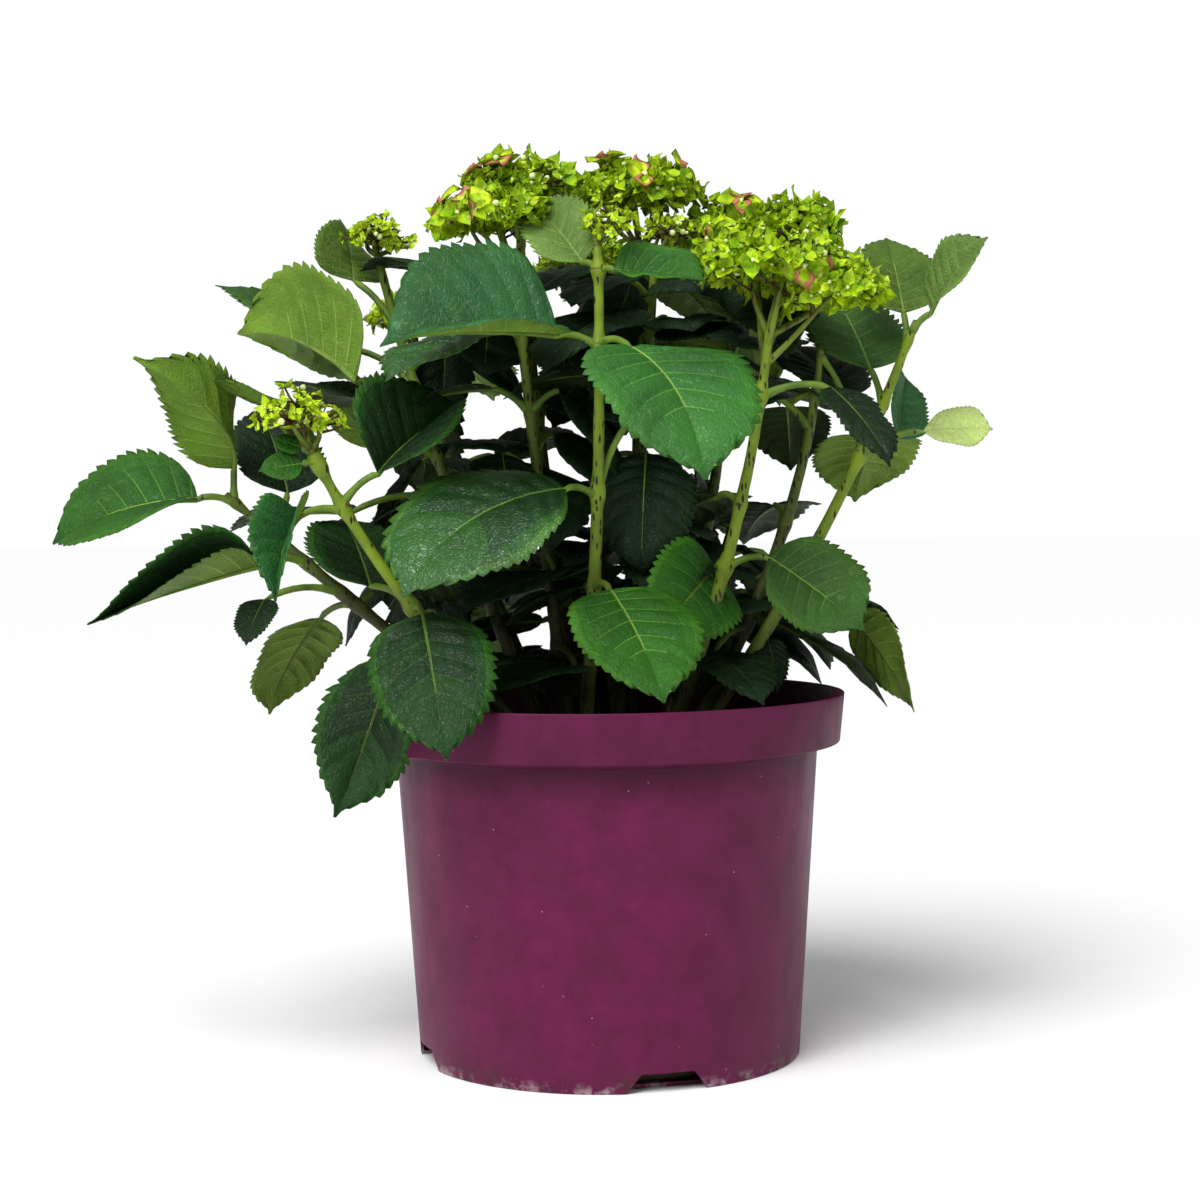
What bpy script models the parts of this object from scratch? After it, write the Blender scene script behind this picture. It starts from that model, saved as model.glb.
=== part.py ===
"""Potted hydrangea shrub: a thin nursery pot filled with compost, and fifteen leafy
canes that rise from it, eleven of them ending in a flower head.

Metres, +Z up. The origin is the centre of the pot's flat underside, +X is the shrub's
right side and -Y its front. Angles are in degrees: a heading of 0 points along +X and
90 points to the back, and a rise or pitch is measured up from level.

Each cane is one curved line. Its bare lower part is a limb of its own, the part above
it is the stem of a foliage mass, and the tip carries the flower head. The three meet
a small gap apart.
"""

import math
import random

import bmesh
import bpy
from mathutils import Matrix, Vector
from mathutils.bvhtree import BVHTree

# Pot: a thin wall that widens upwards, a shelf, and a taller band round the rim.
POT_HEIGHT = 0.1744
POT_WALL = 0.0015
POT_FLOOR = 0.0020
BASE_RADIUS = 0.0920
BASE_CHAMFER = 0.0008
BODY_TOP_RADIUS = 0.1017
SHELF_HEIGHT = 0.0030
RIM_BAND_HEIGHT = 0.0234
RIM_LOW_RADIUS = 0.1126
RIM_TOP_RADIUS = 0.1150
RIM_ROUND = 0.0006
POT_SIDES = 40
SHARP_ANGLE = 30.0

# Drainage notches where the wall meets the floor.
NOTCH_COUNT = 4
NOTCH_FIRST_HEADING = -74.0
NOTCH_LOW_WIDTH = 0.054
NOTCH_TOP_WIDTH = 0.025
NOTCH_HEIGHT = 0.009
NOTCH_INNER_RADIUS = 0.081
NOTCH_DEPTH = 0.022

# Compost: level in the middle, where the canes stand, and a little lower at the wall.
SOIL_LEVEL = 0.1500
SOIL_FLAT_RADIUS = 0.052
SOIL_SLOPE_RADIUS = 0.082
SOIL_SLOPE_LEVEL = 0.1490
SOIL_EDGE_LEVEL = 0.1465
SOIL_FOOT_RADIUS = 0.077
SOIL_FOOT_RISE = 0.0115
SOIL_SIDES = 20

GAP = 0.0003
SOIL_WALL_GAP = 0.0005
MERGE = 2e-6

# Canes.
CANE_FOOT_RADIUS = 0.0040
CANE_TIP_RADIUS = 0.0028
FLARE = 1.45
FLARE_HEIGHT = 0.012
CANE_SIDES = 8
STEM_SIDES = 6
RING_SPACING = 0.034

# Leaves. Lengths are those of the blade alone.
STALK_RADIUS = 0.0017
STALK_TIP_RADIUS = 0.0010
STALK_SIDES = 3
STALK_REACH = 0.12
BLADE_ROWS = 5
SMALL_BLADE = 0.062
SMALL_BLADE_ROWS = 4
BLADE_THICKNESS = 0.020
WIDTH_SHARE = 0.74
WIDEST = 0.82
FULLNESS = 0.80
TIP_TAPER = 0.12
LEAF_CLEARANCE = 0.0009
LIMB_CLEARANCE = 0.0006

# The crown's space: an oval in plan, by its centre and half axes, and its lowest level.
# Leaves that follow the rule keep to the inner oval.
CROWN_CENTRE = (-0.038, 0.012)
CROWN_REACH = (0.240, 0.200)
INNER_CENTRE = (-0.030, 0.030)
INNER_REACH = (0.158, 0.172)
CROWN_LOW = 0.126

# Tries that a leaf gets to stay clear of what is there, each turned further and smaller.
TRIES = 24
FIRST_TURN = 5.0
MORE_TURN = 2.4
PITCH_SHARE = 0.7
SHRINK = 0.014

# Leaves that follow the rule, not a chosen place.
RULE_LENGTH = 0.084
RULE_SMALLEST = 0.86
RULE_LARGEST = 1.10
RULE_STALK = 0.024
RULE_RISE = 26.0
RULE_PITCH = -22.0
RULE_DROOP = 26.0
RULE_JITTER = 14.0

# Flower heads.
HEAD_STALK_RADIUS = 0.0026
RAY_FOOT_RADIUS = 0.0018
RAY_BEND_RADIUS = 0.0016
RAY_RADIUS = 0.0013
RAY_SIDES = 3
RAY_HEADING = 20.0
RAY_SPREAD = 0.24
RAY_BOW = 0.15
FORK_RISE = 0.004
RAY_SINK = 0.0016
SMALL_HEAD = 0.050
CORE_WIDTH = 0.39
CORE_HEIGHT = 0.46
CORE_UNDERSIDE = 0.45
DOME_ANGLE = 92.0
FLORET_RADIUS = 0.0100
FLORET_NOTCH = 0.52
FLORET_CUP = 0.0022
FLORET_DOME = 0.0012
FLORET_KEEL = 0.0065
FLORET_UPTURN = 0.35
FLORET_LOW = 0.0010
FLORET_HIGH = 0.0040
FLORET_CLEARANCE = 0.0002
FLORET_POINTS = 8
GOLDEN_ANGLE = 137.5
SEPAL_SCALE = 1.35
SEPAL_ANGLE = 78.0

# Finishes: a base colour and a roughness.
POT_FINISH = ((0.130, 0.022, 0.078), 0.45)
SOIL_FINISH = ((0.030, 0.018, 0.012), 0.95)
CANE_FINISH = ((0.200, 0.260, 0.045), 0.60)
LEAF_FINISH = ((0.030, 0.110, 0.030), 0.50)
FLOWER_FINISH = ((0.260, 0.440, 0.050), 0.60)


def leaf(height, heading, rise, stalk, turn, pitch, length, width=WIDTH_SHARE,
         droop=22.0, roll=0.0, fold=10.0, twist=0.0, bend=0.0):
    """One leaf: where its stalk leaves the cane, then how the blade goes on from it.

    Twist and bend are the roll and the turn that the blade gains by its tip.
    """
    return dict(height=height, heading=heading, rise=rise, stalk=stalk, turn=turn,
                pitch=pitch, length=length, width=width * length, droop=droop,
                roll=roll, fold=fold, twist=twist, bend=bend)


def pairs(low, high, count, heading, size=1.0):
    """Opposite pairs of leaves, each pair a quarter turn on from the one below."""
    return dict(low=low, high=high, count=count, heading=heading, size=size)


def head(centre, width, depth, florets, rays, sepals=()):
    """A flower head: a dome of florets on forking rays, with wide sepals at headings."""
    return dict(centre=Vector(centre), width=width, depth=depth, florets=florets,
                rays=rays, sepals=sepals)


CANES = {
    "front": dict(
        foot=(-0.011, -0.019), top=(-0.002, -0.051, 0.384), lean=1.15, bare=0.214,
        leaves=(
            leaf(0.227, -74, 0, 0.0227, 13, -41, 0.0729, 0.81, 14, 7, 9, 4, -9),
            leaf(0.269, -133, 12, 0.0189, -34, -30, 0.0975, 0.87, 51, -21, 2, -6, 27),
            leaf(0.273, 43, 57, 0.033, 32, 18, 0.068),
            leaf(0.338, -154, 16, 0.0187, -1, -4, 0.0854, 1.02, 24, -26, 40, -3, -9),
            leaf(0.340, -60, -6, 0.0249, 6, -44, 0.0895, 0.88, 49, 2, 9, 11, -12),
            leaf(0.374, 133, 20, 0.0090, -19, 34, 0.0627, 0.61, 4, -28, 27, -8, 12),
            leaf(0.373, -40, 2, 0.0070, 53, -8, 0.0429, 0.99, 6, 34, 26, -14, -52),
        ),
        rule=(),
        head=head((0.003, -0.050, 0.397), 0.022, 0.014, 6, 3),
    ),
    "front_right": dict(
        foot=(0.027, -0.030), top=(0.077, -0.046, 0.345), lean=0.78, bare=0.220,
        leaves=(
            leaf(0.235, -26, 14, 0.0198, 24, -36, 0.0560, 0.93, 4, 37, 14, 16, -43),
            leaf(0.237, 151, -23, 0.0028, 99, -29, 0.0662, 0.80, 37, -58, 18, 6, -22),
            leaf(0.265, 112, 10, 0.022, 0, -15, 0.072),
            leaf(0.315, -6, 7, 0.030, -53, -39, 0.058, 0.50),
            leaf(0.317, 150, 20, 0.020, 0, -10, 0.075),
        ),
        rule=(),
        head=head((0.089, -0.030, 0.381), 0.084, 0.046, 24, 6, (-100, -60, 170)),
    ),
    "mid_right": dict(
        foot=(0.038, 0.000), top=(0.106, 0.008, 0.340), lean=0.87, bare=0.196,
        leaves=(
            leaf(0.205, -126, -19, 0.027, 57, -20, 0.060, 0.60),
            leaf(0.213, -58, -46, 0.013, -25, -43, 0.036, 0.42),
            leaf(0.255, 98, 20, 0.024, 0, -15, 0.078),
            leaf(0.318, 137, -18, 0.016, -54, -36, 0.052, 0.80),
            leaf(0.336, 18, -57, 0.021, 97, 28, 0.062),
        ),
        rule=(),
        head=None,
    ),
    "right": dict(
        foot=(0.040, -0.019), top=(0.151, 0.000, 0.352), lean=0.66, bare=0.222,
        leaves=(
            leaf(0.236, 26, -44, 0.0345, -54, -52, 0.0567, 0.87, 9, -57, 7, 15, -17),
            leaf(0.286, -22, 22, 0.0316, 11, 1, 0.0329, 1.02, 11, 13, 9, 46, 3),
            leaf(0.290, 63, 23, 0.017, 32, -31, 0.062, 0.85),
            leaf(0.294, 41, 4, 0.0198, 32, 49, 0.0432, 0.76, 33, 60, 32, 3, 0),
            leaf(0.312, 108, 52, 0.020, 0, 40, 0.070),
            leaf(0.342, 94, 57, 0.015, 2, 48, 0.055),
            leaf(0.347, -17, 42, 0.0104, -46, 46, 0.0475, 0.85, 8, 60, 22, -2, 36),
        ),
        rule=(),
        head=None,
    ),
    "front_left": dict(
        foot=(-0.030, -0.038), top=(-0.133, -0.064, 0.290), lean=0.67, bare=0.190,
        leaves=(
            leaf(0.201, -159, -13, 0.0228, -52, -70, 0.0766, 0.66, -2, -59, 22, -29, 74),
            leaf(0.218, -78, -1, 0.0214, 1, -51, 0.0786, 0.71, 19, 11, 4, 5, 4),
            leaf(0.220, 144, 20, 0.023, -35, 30, 0.064, 0.80),
            leaf(0.264, -153, -3, 0.0190, 52, -35, 0.0652, 0.67, 38, 5, 60, 4, 9),
            leaf(0.267, -6, 40, 0.0197, 78, 27, 0.0747, 1.02, 0, 28, 49, -8, -32),
        ),
        rule=(),
        head=head((-0.140, -0.064, 0.309), 0.040, 0.020, 8, 3),
    ),
    "far_left": dict(
        foot=(-0.036, -0.006), top=(-0.180, -0.015, 0.272), lean=0.53, bare=0.200,
        leaves=(
            leaf(0.218, 132, -11, 0.0292, 15, -53, 0.0606, 0.81, 21, 10, 4, -11, -6),
            leaf(0.225, -152, -3, 0.036, 48, -39, 0.032, 0.60),
            leaf(0.239, -136, 1, 0.0241, -41, -18, 0.0849, 0.82, 7, -44, 78, -34, 25),
            leaf(0.250, 69, 68, 0.022, 47, 46, 0.060),
            leaf(0.268, -171, 9, 0.0158, -4, -16, 0.0754, 0.97, 30, -19, 20, -28, -19),
            leaf(0.269, 93, 78, 0.0137, -164, 36, 0.0858, 0.60, -5, 49, 45, 11, -100),
        ),
        rule=(),
        head=None,
    ),
    "upper_left": dict(
        foot=(-0.030, 0.016), top=(-0.109, 0.022, 0.386), lean=0.62, bare=0.255,
        leaves=(
            leaf(0.318, -143, 13, 0.0340, -74, 20, 0.0790, 1.03, 43, 47, 30, 9, 10),
            leaf(0.268, -158, -5, 0.049, -48, -7, 0.072, 0.60),
            leaf(0.290, -156, 6, 0.026, 43, 24, 0.050),
            leaf(0.305, -160, 21, 0.035, -64, 7, 0.060, 0.64),
            leaf(0.324, -159, 14, 0.033, -43, 19, 0.066, 0.50, 10),
            leaf(0.352, 168, 48, 0.0306, -72, 55, 0.0405, 1.00, -5, 13, 2, 33, 25),
        ),
        rule=(pairs(0.285, 0.350, 2, 60),),
        head=head((-0.109, 0.022, 0.398), 0.034, 0.016, 7, 3),
    ),
    "mid_left": dict(
        foot=(-0.018, 0.006), top=(-0.042, 0.004, 0.376), lean=0.53, bare=0.186,
        leaves=(
            leaf(0.196, -69, -18, 0.023, -66, -8, 0.056, 0.80),
            leaf(0.242, -66, -42, 0.010, -65, -14, 0.066),
            leaf(0.345, -133, 20, 0.011, -2, -18, 0.080),
            leaf(0.350, 51, 61, 0.018, 0, 21, 0.050, 0.80),
            leaf(0.368, 180, 22, 0.021, -20, 6, 0.060),
        ),
        rule=(pairs(0.244, 0.310, 2, 120),),
        head=head((-0.056, -0.004, 0.4025), 0.054, 0.027, 16, 5, (185, -120)),
    ),
    "centre": dict(
        foot=(0.004, 0.004), top=(0.026, 0.026, 0.378), lean=0.60, bare=0.200,
        leaves=(),
        rule=(pairs(0.215, 0.350, 5, 75),),
        head=head((0.031, 0.028, 0.401), 0.024, 0.014, 7, 3),
    ),
    "back_left_centre": dict(
        foot=(-0.010, 0.024), top=(-0.040, 0.050, 0.396), lean=0.70, bare=0.225,
        leaves=(),
        rule=(pairs(0.240, 0.375, 5, 160),),
        head=head((-0.043, 0.050, 0.4245), 0.047, 0.027, 13, 5, (190,)),
    ),
    "back_right_centre": dict(
        foot=(0.011, 0.024), top=(0.020, 0.050, 0.390), lean=0.70, bare=0.225,
        leaves=(),
        rule=(pairs(0.240, 0.370, 5, 30),),
        head=head((0.0185, 0.046, 0.422), 0.054, 0.034, 19, 5, (-80, 10)),
    ),
    "back_right": dict(
        foot=(0.028, 0.018), top=(0.070, 0.058, 0.384), lean=0.75, bare=0.215,
        leaves=(),
        rule=(pairs(0.232, 0.368, 5, 60),),
        head=head((0.074, 0.060, 0.394), 0.054, 0.026, 12, 5, (20,)),
    ),
    "back_left_low": dict(
        foot=(-0.024, 0.032), top=(-0.095, 0.095, 0.345), lean=0.70, bare=0.190,
        leaves=(),
        rule=(pairs(0.205, 0.335, 5, 100),),
        head=head((-0.098, 0.098, 0.364), 0.044, 0.018, 8, 3),
    ),
    "back_right_low": dict(
        foot=(0.026, 0.034), top=(0.086, 0.104, 0.325), lean=0.70, bare=0.190,
        leaves=(),
        rule=(pairs(0.205, 0.320, 5, 10),),
        head=None,
    ),
    "back_centre": dict(
        foot=(0.000, 0.038), top=(0.000, 0.112, 0.362), lean=0.72, bare=0.195,
        leaves=(),
        rule=(pairs(0.212, 0.350, 5, 45),),
        head=head((0.000, 0.114, 0.388), 0.066, 0.030, 15, 5, (100,)),
    ),
}


# ---------------------------------------------------------------- objects and finishes

def clear_scene():
    """Removes whatever the opened scene holds."""
    for item in list(bpy.data.objects):
        bpy.data.objects.remove(item, do_unlink=True)


def finish(item, colour, roughness):
    """Gives an object a Principled material of its own."""
    material = bpy.data.materials.new(item.name + "_finish")
    material.use_nodes = True
    shader = material.node_tree.nodes["Principled BSDF"]
    shader.inputs["Base Color"].default_value = (*colour, 1.0)
    shader.inputs["Roughness"].default_value = roughness
    item.data.materials.clear()
    item.data.materials.append(material)


def make_object(name, bm):
    """Turns a bmesh into a named object of the scene."""
    mesh = bpy.data.meshes.new(name)
    bm.to_mesh(mesh)
    bm.free()
    item = bpy.data.objects.new(name, mesh)
    bpy.context.scene.collection.objects.link(item)
    return item


def direction(heading, rise):
    """Unit vector for a heading and a rise in degrees."""
    turn = math.radians(heading)
    lift = math.radians(rise)
    level = math.cos(lift)
    return Vector((level * math.cos(turn), level * math.sin(turn), math.sin(lift)))


# ------------------------------------------------------------------------- pot and soil

def turned(name, profile, sides):
    """A solid turned about the Z axis from an outline of (radius, height) points."""
    bm = bmesh.new()
    verts = [bm.verts.new((radius, 0.0, height)) for radius, height in profile]
    edges = [bm.edges.new(pair) for pair in zip(verts, verts[1:])]
    bmesh.ops.spin(bm, geom=verts + edges, cent=(0, 0, 0), axis=(0, 0, 1),
                   angle=math.tau, steps=sides, use_merge=True)
    bmesh.ops.remove_doubles(bm, verts=bm.verts, dist=MERGE)
    bmesh.ops.recalc_face_normals(bm, faces=bm.faces)
    return make_object(name, bm)


def inner_radius(height):
    """Radius of the inside of the pot's wall below the shelf."""
    body_height = POT_HEIGHT - RIM_BAND_HEIGHT - SHELF_HEIGHT
    share = height / body_height
    return BASE_RADIUS + (BODY_TOP_RADIUS - BASE_RADIUS) * share - POT_WALL


def make_notch_cutter():
    """Blocks, narrower at the top, that open the corner of wall and floor."""
    bm = bmesh.new()
    for number in range(NOTCH_COUNT):
        block = bmesh.ops.create_cube(bm, size=1.0)["verts"]
        for vert in block:
            width = NOTCH_TOP_WIDTH if vert.co.z > 0 else NOTCH_LOW_WIDTH
            height = NOTCH_HEIGHT if vert.co.z > 0 else -NOTCH_HEIGHT
            radius = NOTCH_INNER_RADIUS + (vert.co.x + 0.5) * NOTCH_DEPTH
            vert.co = Vector((radius, vert.co.y * width, height))
        heading = math.radians(NOTCH_FIRST_HEADING) + number * math.tau / NOTCH_COUNT
        turn = Matrix.Rotation(heading, 3, "Z")
        bmesh.ops.rotate(bm, verts=block, cent=(0, 0, 0), matrix=turn)
    cutter = make_object("notch_cutter", bm)
    cutter.hide_render = True
    cutter.display_type = "WIRE"
    return cutter


def make_pot():
    """The pot: wall, shelf, rim band and floor in one thin turned shell."""
    band_foot = POT_HEIGHT - RIM_BAND_HEIGHT
    body_top = band_foot - SHELF_HEIGHT
    profile = (
        (0.0, 0.0),
        (BASE_RADIUS - BASE_CHAMFER, 0.0),
        (BASE_RADIUS, BASE_CHAMFER),
        (BODY_TOP_RADIUS, body_top),
        (RIM_LOW_RADIUS - RIM_ROUND, band_foot),
        (RIM_LOW_RADIUS, band_foot + RIM_ROUND),
        (RIM_TOP_RADIUS, POT_HEIGHT - RIM_ROUND),
        (RIM_TOP_RADIUS - RIM_ROUND, POT_HEIGHT),
        (RIM_TOP_RADIUS - POT_WALL, POT_HEIGHT),
        (RIM_LOW_RADIUS - POT_WALL, band_foot + POT_WALL),
        (inner_radius(body_top), body_top + POT_WALL),
        (inner_radius(POT_FLOOR), POT_FLOOR),
        (0.0, POT_FLOOR),
    )
    pot = turned("pot", profile, POT_SIDES)
    cut = pot.modifiers.new("drainage_notches", "BOOLEAN")
    cut.operation = "DIFFERENCE"
    cut.solver = "EXACT"
    cut.object = make_notch_cutter()
    pot.data.shade_smooth()
    pot.data.set_sharp_from_angle(angle=math.radians(SHARP_ANGLE))
    finish(pot, *POT_FINISH)
    return pot


def make_soil():
    """The compost that fills the pot to just under the shelf."""
    low = POT_FLOOR + GAP
    foot_top = low + SOIL_FOOT_RISE
    profile = (
        (0.0, low),
        (SOIL_FOOT_RADIUS, low),
        (inner_radius(foot_top) - SOIL_WALL_GAP, foot_top),
        (inner_radius(SOIL_EDGE_LEVEL) - SOIL_WALL_GAP, SOIL_EDGE_LEVEL),
        (SOIL_SLOPE_RADIUS, SOIL_SLOPE_LEVEL),
        (SOIL_FLAT_RADIUS, SOIL_LEVEL),
        (0.0, SOIL_LEVEL),
    )
    soil = turned("compost", profile, SOIL_SIDES)
    finish(soil, *SOIL_FINISH)
    return soil


# -------------------------------------------------------------------------------- limbs

def limb_mesh(points, radii, sides, foot_aim=None):
    """A round section extruded along a path, tapering, with a flat face at each end.

    The foot's face is square to the path, or to foot_aim where one is given.
    """
    bm = bmesh.new()
    ways = [(after - before).normalized() for before, after in zip(points, points[1:])]
    aims = [foot_aim or ways[0]]
    aims += [(before + after).normalized() for before, after in zip(ways, ways[1:])]
    aims += [ways[-1]]
    stand = Matrix.Translation(points[0])
    stand @= Vector((0, 0, 1)).rotation_difference(aims[0]).to_matrix().to_4x4()
    bmesh.ops.create_circle(bm, cap_ends=True, segments=sides, radius=radii[0], matrix=stand)
    face = list(bm.faces)[0]
    for step in range(1, len(points)):
        grown = bmesh.ops.extrude_face_region(bm, geom=[face])["geom"]
        if step > 1:
            bmesh.ops.delete(bm, geom=[face], context="FACES_ONLY")
        ring = [part for part in grown if isinstance(part, bmesh.types.BMVert)]
        face = [part for part in grown if isinstance(part, bmesh.types.BMFace)][0]
        move = Matrix.Translation(points[step])
        move @= aims[step - 1].rotation_difference(aims[step]).to_matrix().to_4x4()
        move @= Matrix.Scale(radii[step] / radii[step - 1], 4)
        move @= Matrix.Translation(-points[step - 1])
        bmesh.ops.transform(bm, matrix=move, verts=ring)
    bmesh.ops.recalc_face_normals(bm, faces=bm.faces)
    return bm


def cane_point(cane, height):
    """The cane's centre line at a height: one curve from the soil to the tip."""
    along = (height - SOIL_LEVEL) / (cane["top"][2] - SOIL_LEVEL)
    share = 2 * along * (1 - along) * cane["lean"] + along * along
    x = cane["foot"][0] + (cane["top"][0] - cane["foot"][0]) * share
    y = cane["foot"][1] + (cane["top"][1] - cane["foot"][1]) * share
    return Vector((x, y, height))


def cane_radius(cane, height):
    """The cane tapers evenly from the soil to its tip."""
    along = (height - SOIL_LEVEL) / (cane["top"][2] - SOIL_LEVEL)
    return CANE_FOOT_RADIUS + (CANE_TIP_RADIUS - CANE_FOOT_RADIUS) * along


def cane_path(cane, low, high):
    """Points and radii of the cane between two heights."""
    count = max(2, round((high - low) / RING_SPACING) + 1)
    heights = [low + (high - low) * step / (count - 1) for step in range(count)]
    points = [cane_point(cane, height) for height in heights]
    radii = [cane_radius(cane, height) for height in heights]
    return points, radii


def last_way(points):
    """Direction of a path's last stretch."""
    return (points[-1] - points[-2]).normalized()


def bare_path(cane):
    """The bare foot of a cane, above its flare."""
    return cane_path(cane, SOIL_LEVEL + GAP + FLARE_HEIGHT, cane["bare"])


def bare_limb(cane):
    """The bare foot of a cane, flared where it stands on the compost."""
    points, radii = bare_path(cane)
    foot = cane_point(cane, SOIL_LEVEL + GAP)
    return limb_mesh([foot] + points, [radii[0] * FLARE] + radii, CANE_SIDES, Vector((0, 0, 1)))


def mass_path(cane):
    """The part of a cane that its leaves grow from, from the bare limb's end to the tip."""
    points, radii = cane_path(cane, cane["bare"], cane["top"][2])
    points[0] += last_way(bare_path(cane)[0]) * GAP
    return points, radii


def mass_stem(cane):
    """The stem of a foliage mass, standing off the bare limb's flat end."""
    points, radii = mass_path(cane)
    return limb_mesh(points, radii, STEM_SIDES, last_way(bare_path(cane)[0]))


# ------------------------------------------------------------------------------- leaves

def outline(along):
    """Half width of the blade, as a share, from the stalk (0) to the tip (1)."""
    if along <= 0.0 or along >= 1.0:
        return 0.0
    return math.sin(math.pi * along ** WIDEST) ** FULLNESS * (1 - TIP_TAPER * along)


def midrib(blade, along):
    """Point on the midrib, its direction and the upward normal there."""
    droop = math.radians(blade["droop"]) or 1e-4
    start = math.radians(blade["pitch"]) + droop / 2
    lift = start - droop * along
    ahead = blade["length"] * (math.sin(start) - math.sin(lift)) / droop
    up = blade["length"] * (math.cos(lift) - math.cos(start)) / droop
    bent = blade["bend"] * along
    level = direction(blade["aim"] + bent / 2, 0)
    point = blade["base"] + level * ahead + Vector((0, 0, up))
    way = direction(blade["aim"] + bent, 0)
    normal = Vector((0, 0, math.cos(lift))) - way * math.sin(lift)
    return point, normal


def blade_axes(blade, along):
    """Point on the midrib, with the blade's leftward and upward directions there."""
    point, normal = midrib(blade, along)
    left = direction(blade["aim"] + blade["bend"] * along + 90, 0)
    roll = math.radians(blade["roll"] + blade["twist"] * along)
    side = left * math.cos(roll) + normal * math.sin(roll)
    rise = normal * math.cos(roll) - left * math.sin(roll)
    return point, side, rise


def blade_point(blade, along, across):
    """Point of the upper side; across runs from -1 at the right margin to 1 at the left."""
    point, side, rise = blade_axes(blade, along)
    fold = math.radians(blade["fold"])
    half = blade["width"] / 2 * outline(along)
    level = half * across * math.cos(fold)
    raised = half * abs(across) * math.sin(fold)
    return point + side * level + rise * raised


def blade_mesh(blade):
    """The blade: a folded, drooping sheet, thickest at the midrib and sharp at the margin."""
    bm = bmesh.new()
    rows = BLADE_ROWS if blade["length"] > SMALL_BLADE else SMALL_BLADE_ROWS
    for under in (False, True):
        sheet = bmesh.ops.create_grid(bm, x_segments=rows, y_segments=2, size=0.5)["verts"]
        for vert in sheet:
            along = vert.co.x + 0.5
            across = vert.co.y * 2
            vert.co = blade_point(blade, along, across)
            if under and abs(across) < 0.5 and outline(along) > 0:
                vert.co -= blade_axes(blade, along)[2] * BLADE_THICKNESS * blade["length"]
    bmesh.ops.remove_doubles(bm, verts=bm.verts, dist=MERGE)
    bmesh.ops.recalc_face_normals(bm, faces=bm.faces)
    return bm


def stalk_mesh(blade, start):
    """The leaf stalk, from inside the cane to a point well along the midrib."""
    end = midrib(blade, STALK_REACH)[0]
    points = [start, blade["base"], end]
    return limb_mesh(points, [STALK_RADIUS, STALK_RADIUS, STALK_TIP_RADIUS], STALK_SIDES)


def fattened(bm, by):
    """A copy of a bmesh grown outwards, to test for clearance."""
    copy = bm.copy()
    copy.normal_update()
    for vert in copy.verts:
        vert.co += vert.normal * by
    return copy


def rule_leaves(name, cane):
    """Leaves of the opposite pairs, with small seeded differences."""
    draw = random.Random(name)
    grown = []
    for run in cane["rule"]:
        for number in range(run["count"]):
            share = number / max(1, run["count"] - 1)
            height = run["low"] + (run["high"] - run["low"]) * share
            for side in (0, 180):
                heading = run["heading"] + 90 * number + side
                heading += draw.uniform(-1, 1) * RULE_JITTER
                rise = RULE_RISE + draw.uniform(-1, 1) * RULE_JITTER
                pitch = RULE_PITCH + draw.uniform(-1, 1) * RULE_JITTER
                size = run["size"] * draw.uniform(RULE_SMALLEST, RULE_LARGEST)
                turn = draw.uniform(-1, 1) * RULE_JITTER
                roll = draw.uniform(-1, 1) * RULE_JITTER
                grown.append(leaf(height, heading, rise, RULE_STALK, turn, pitch,
                                  RULE_LENGTH * size, droop=RULE_DROOP, roll=roll))
    return grown


def tries(one):
    """Turns of heading and pitch, and sizes, that a leaf tries in order."""
    draw = random.Random(str(one["height"]) + str(one["heading"]))
    yield 0.0, 0.0, 1.0
    for number in range(TRIES):
        swing = FIRST_TURN + MORE_TURN * number
        heading = draw.uniform(-1, 1) * swing
        pitch = draw.uniform(-1, 1) * swing * PITCH_SHARE
        yield heading, pitch, 1.0 - SHRINK * number


def placed(cane, one, turned_by, lifted_by, size):
    """A leaf's blade in its place and where its stalk starts."""
    heading = one["heading"] + turned_by
    start = cane_point(cane, one["height"])
    reach = one["stalk"] * size + cane_radius(cane, one["height"])
    blade = dict(one)
    blade["base"] = start + direction(heading, one["rise"]) * reach
    blade["aim"] = heading + one["turn"]
    blade["pitch"] = one["pitch"] + lifted_by
    blade["length"] = one["length"] * size
    blade["width"] = one["width"] * size
    return blade, start


def in_crown(point, by_rule):
    """True inside the crown's space."""
    centre, reach = (INNER_CENTRE, INNER_REACH) if by_rule else (CROWN_CENTRE, CROWN_REACH)
    x = (point.x - centre[0]) / reach[0]
    y = (point.y - centre[1]) / reach[1]
    return x * x + y * y <= 1.0 and point.z >= CROWN_LOW


class Crown:
    """What stands in the crown so far, as trees to test new leaves against."""

    def __init__(self):
        self.taken = []

    def add(self, bm, owner, kind):
        """Notes a solid: owner is the cane's name, kind what it is."""
        self.taken.append((BVHTree.FromBMesh(bm), owner, kind))

    def clear(self, bm, owner, skip):
        """True where a fattened solid crosses nothing, its own cane's skipped kinds aside."""
        tree = BVHTree.FromBMesh(bm)
        for other, its_owner, kind in self.taken:
            if its_owner == owner and kind in skip:
                continue
            if tree.overlap(other):
                return False
        return True


def grow_leaf(crown, name, cane, one, by_rule):
    """Blade and stalk of a leaf by its first try that keeps clear; empty if none does."""
    for turned_by, lifted_by, size in tries(one):
        blade, start = placed(cane, one, turned_by, lifted_by, size)
        if not in_crown(blade_point(blade, 1.0, 0.0), by_rule):
            continue
        sheet = blade_mesh(blade)
        stalk = stalk_mesh(blade, start)
        fits = crown.clear(fattened(sheet, LEAF_CLEARANCE), name, ())
        fits = fits and crown.clear(fattened(stalk, LIMB_CLEARANCE), name, ("stem", "stalk"))
        if fits:
            crown.add(sheet, name, "blade")
            crown.add(stalk, name, "stalk")
            return [sheet, stalk]
        sheet.free()
        stalk.free()
    return []


# -------------------------------------------------------------------------- flower heads

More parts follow.
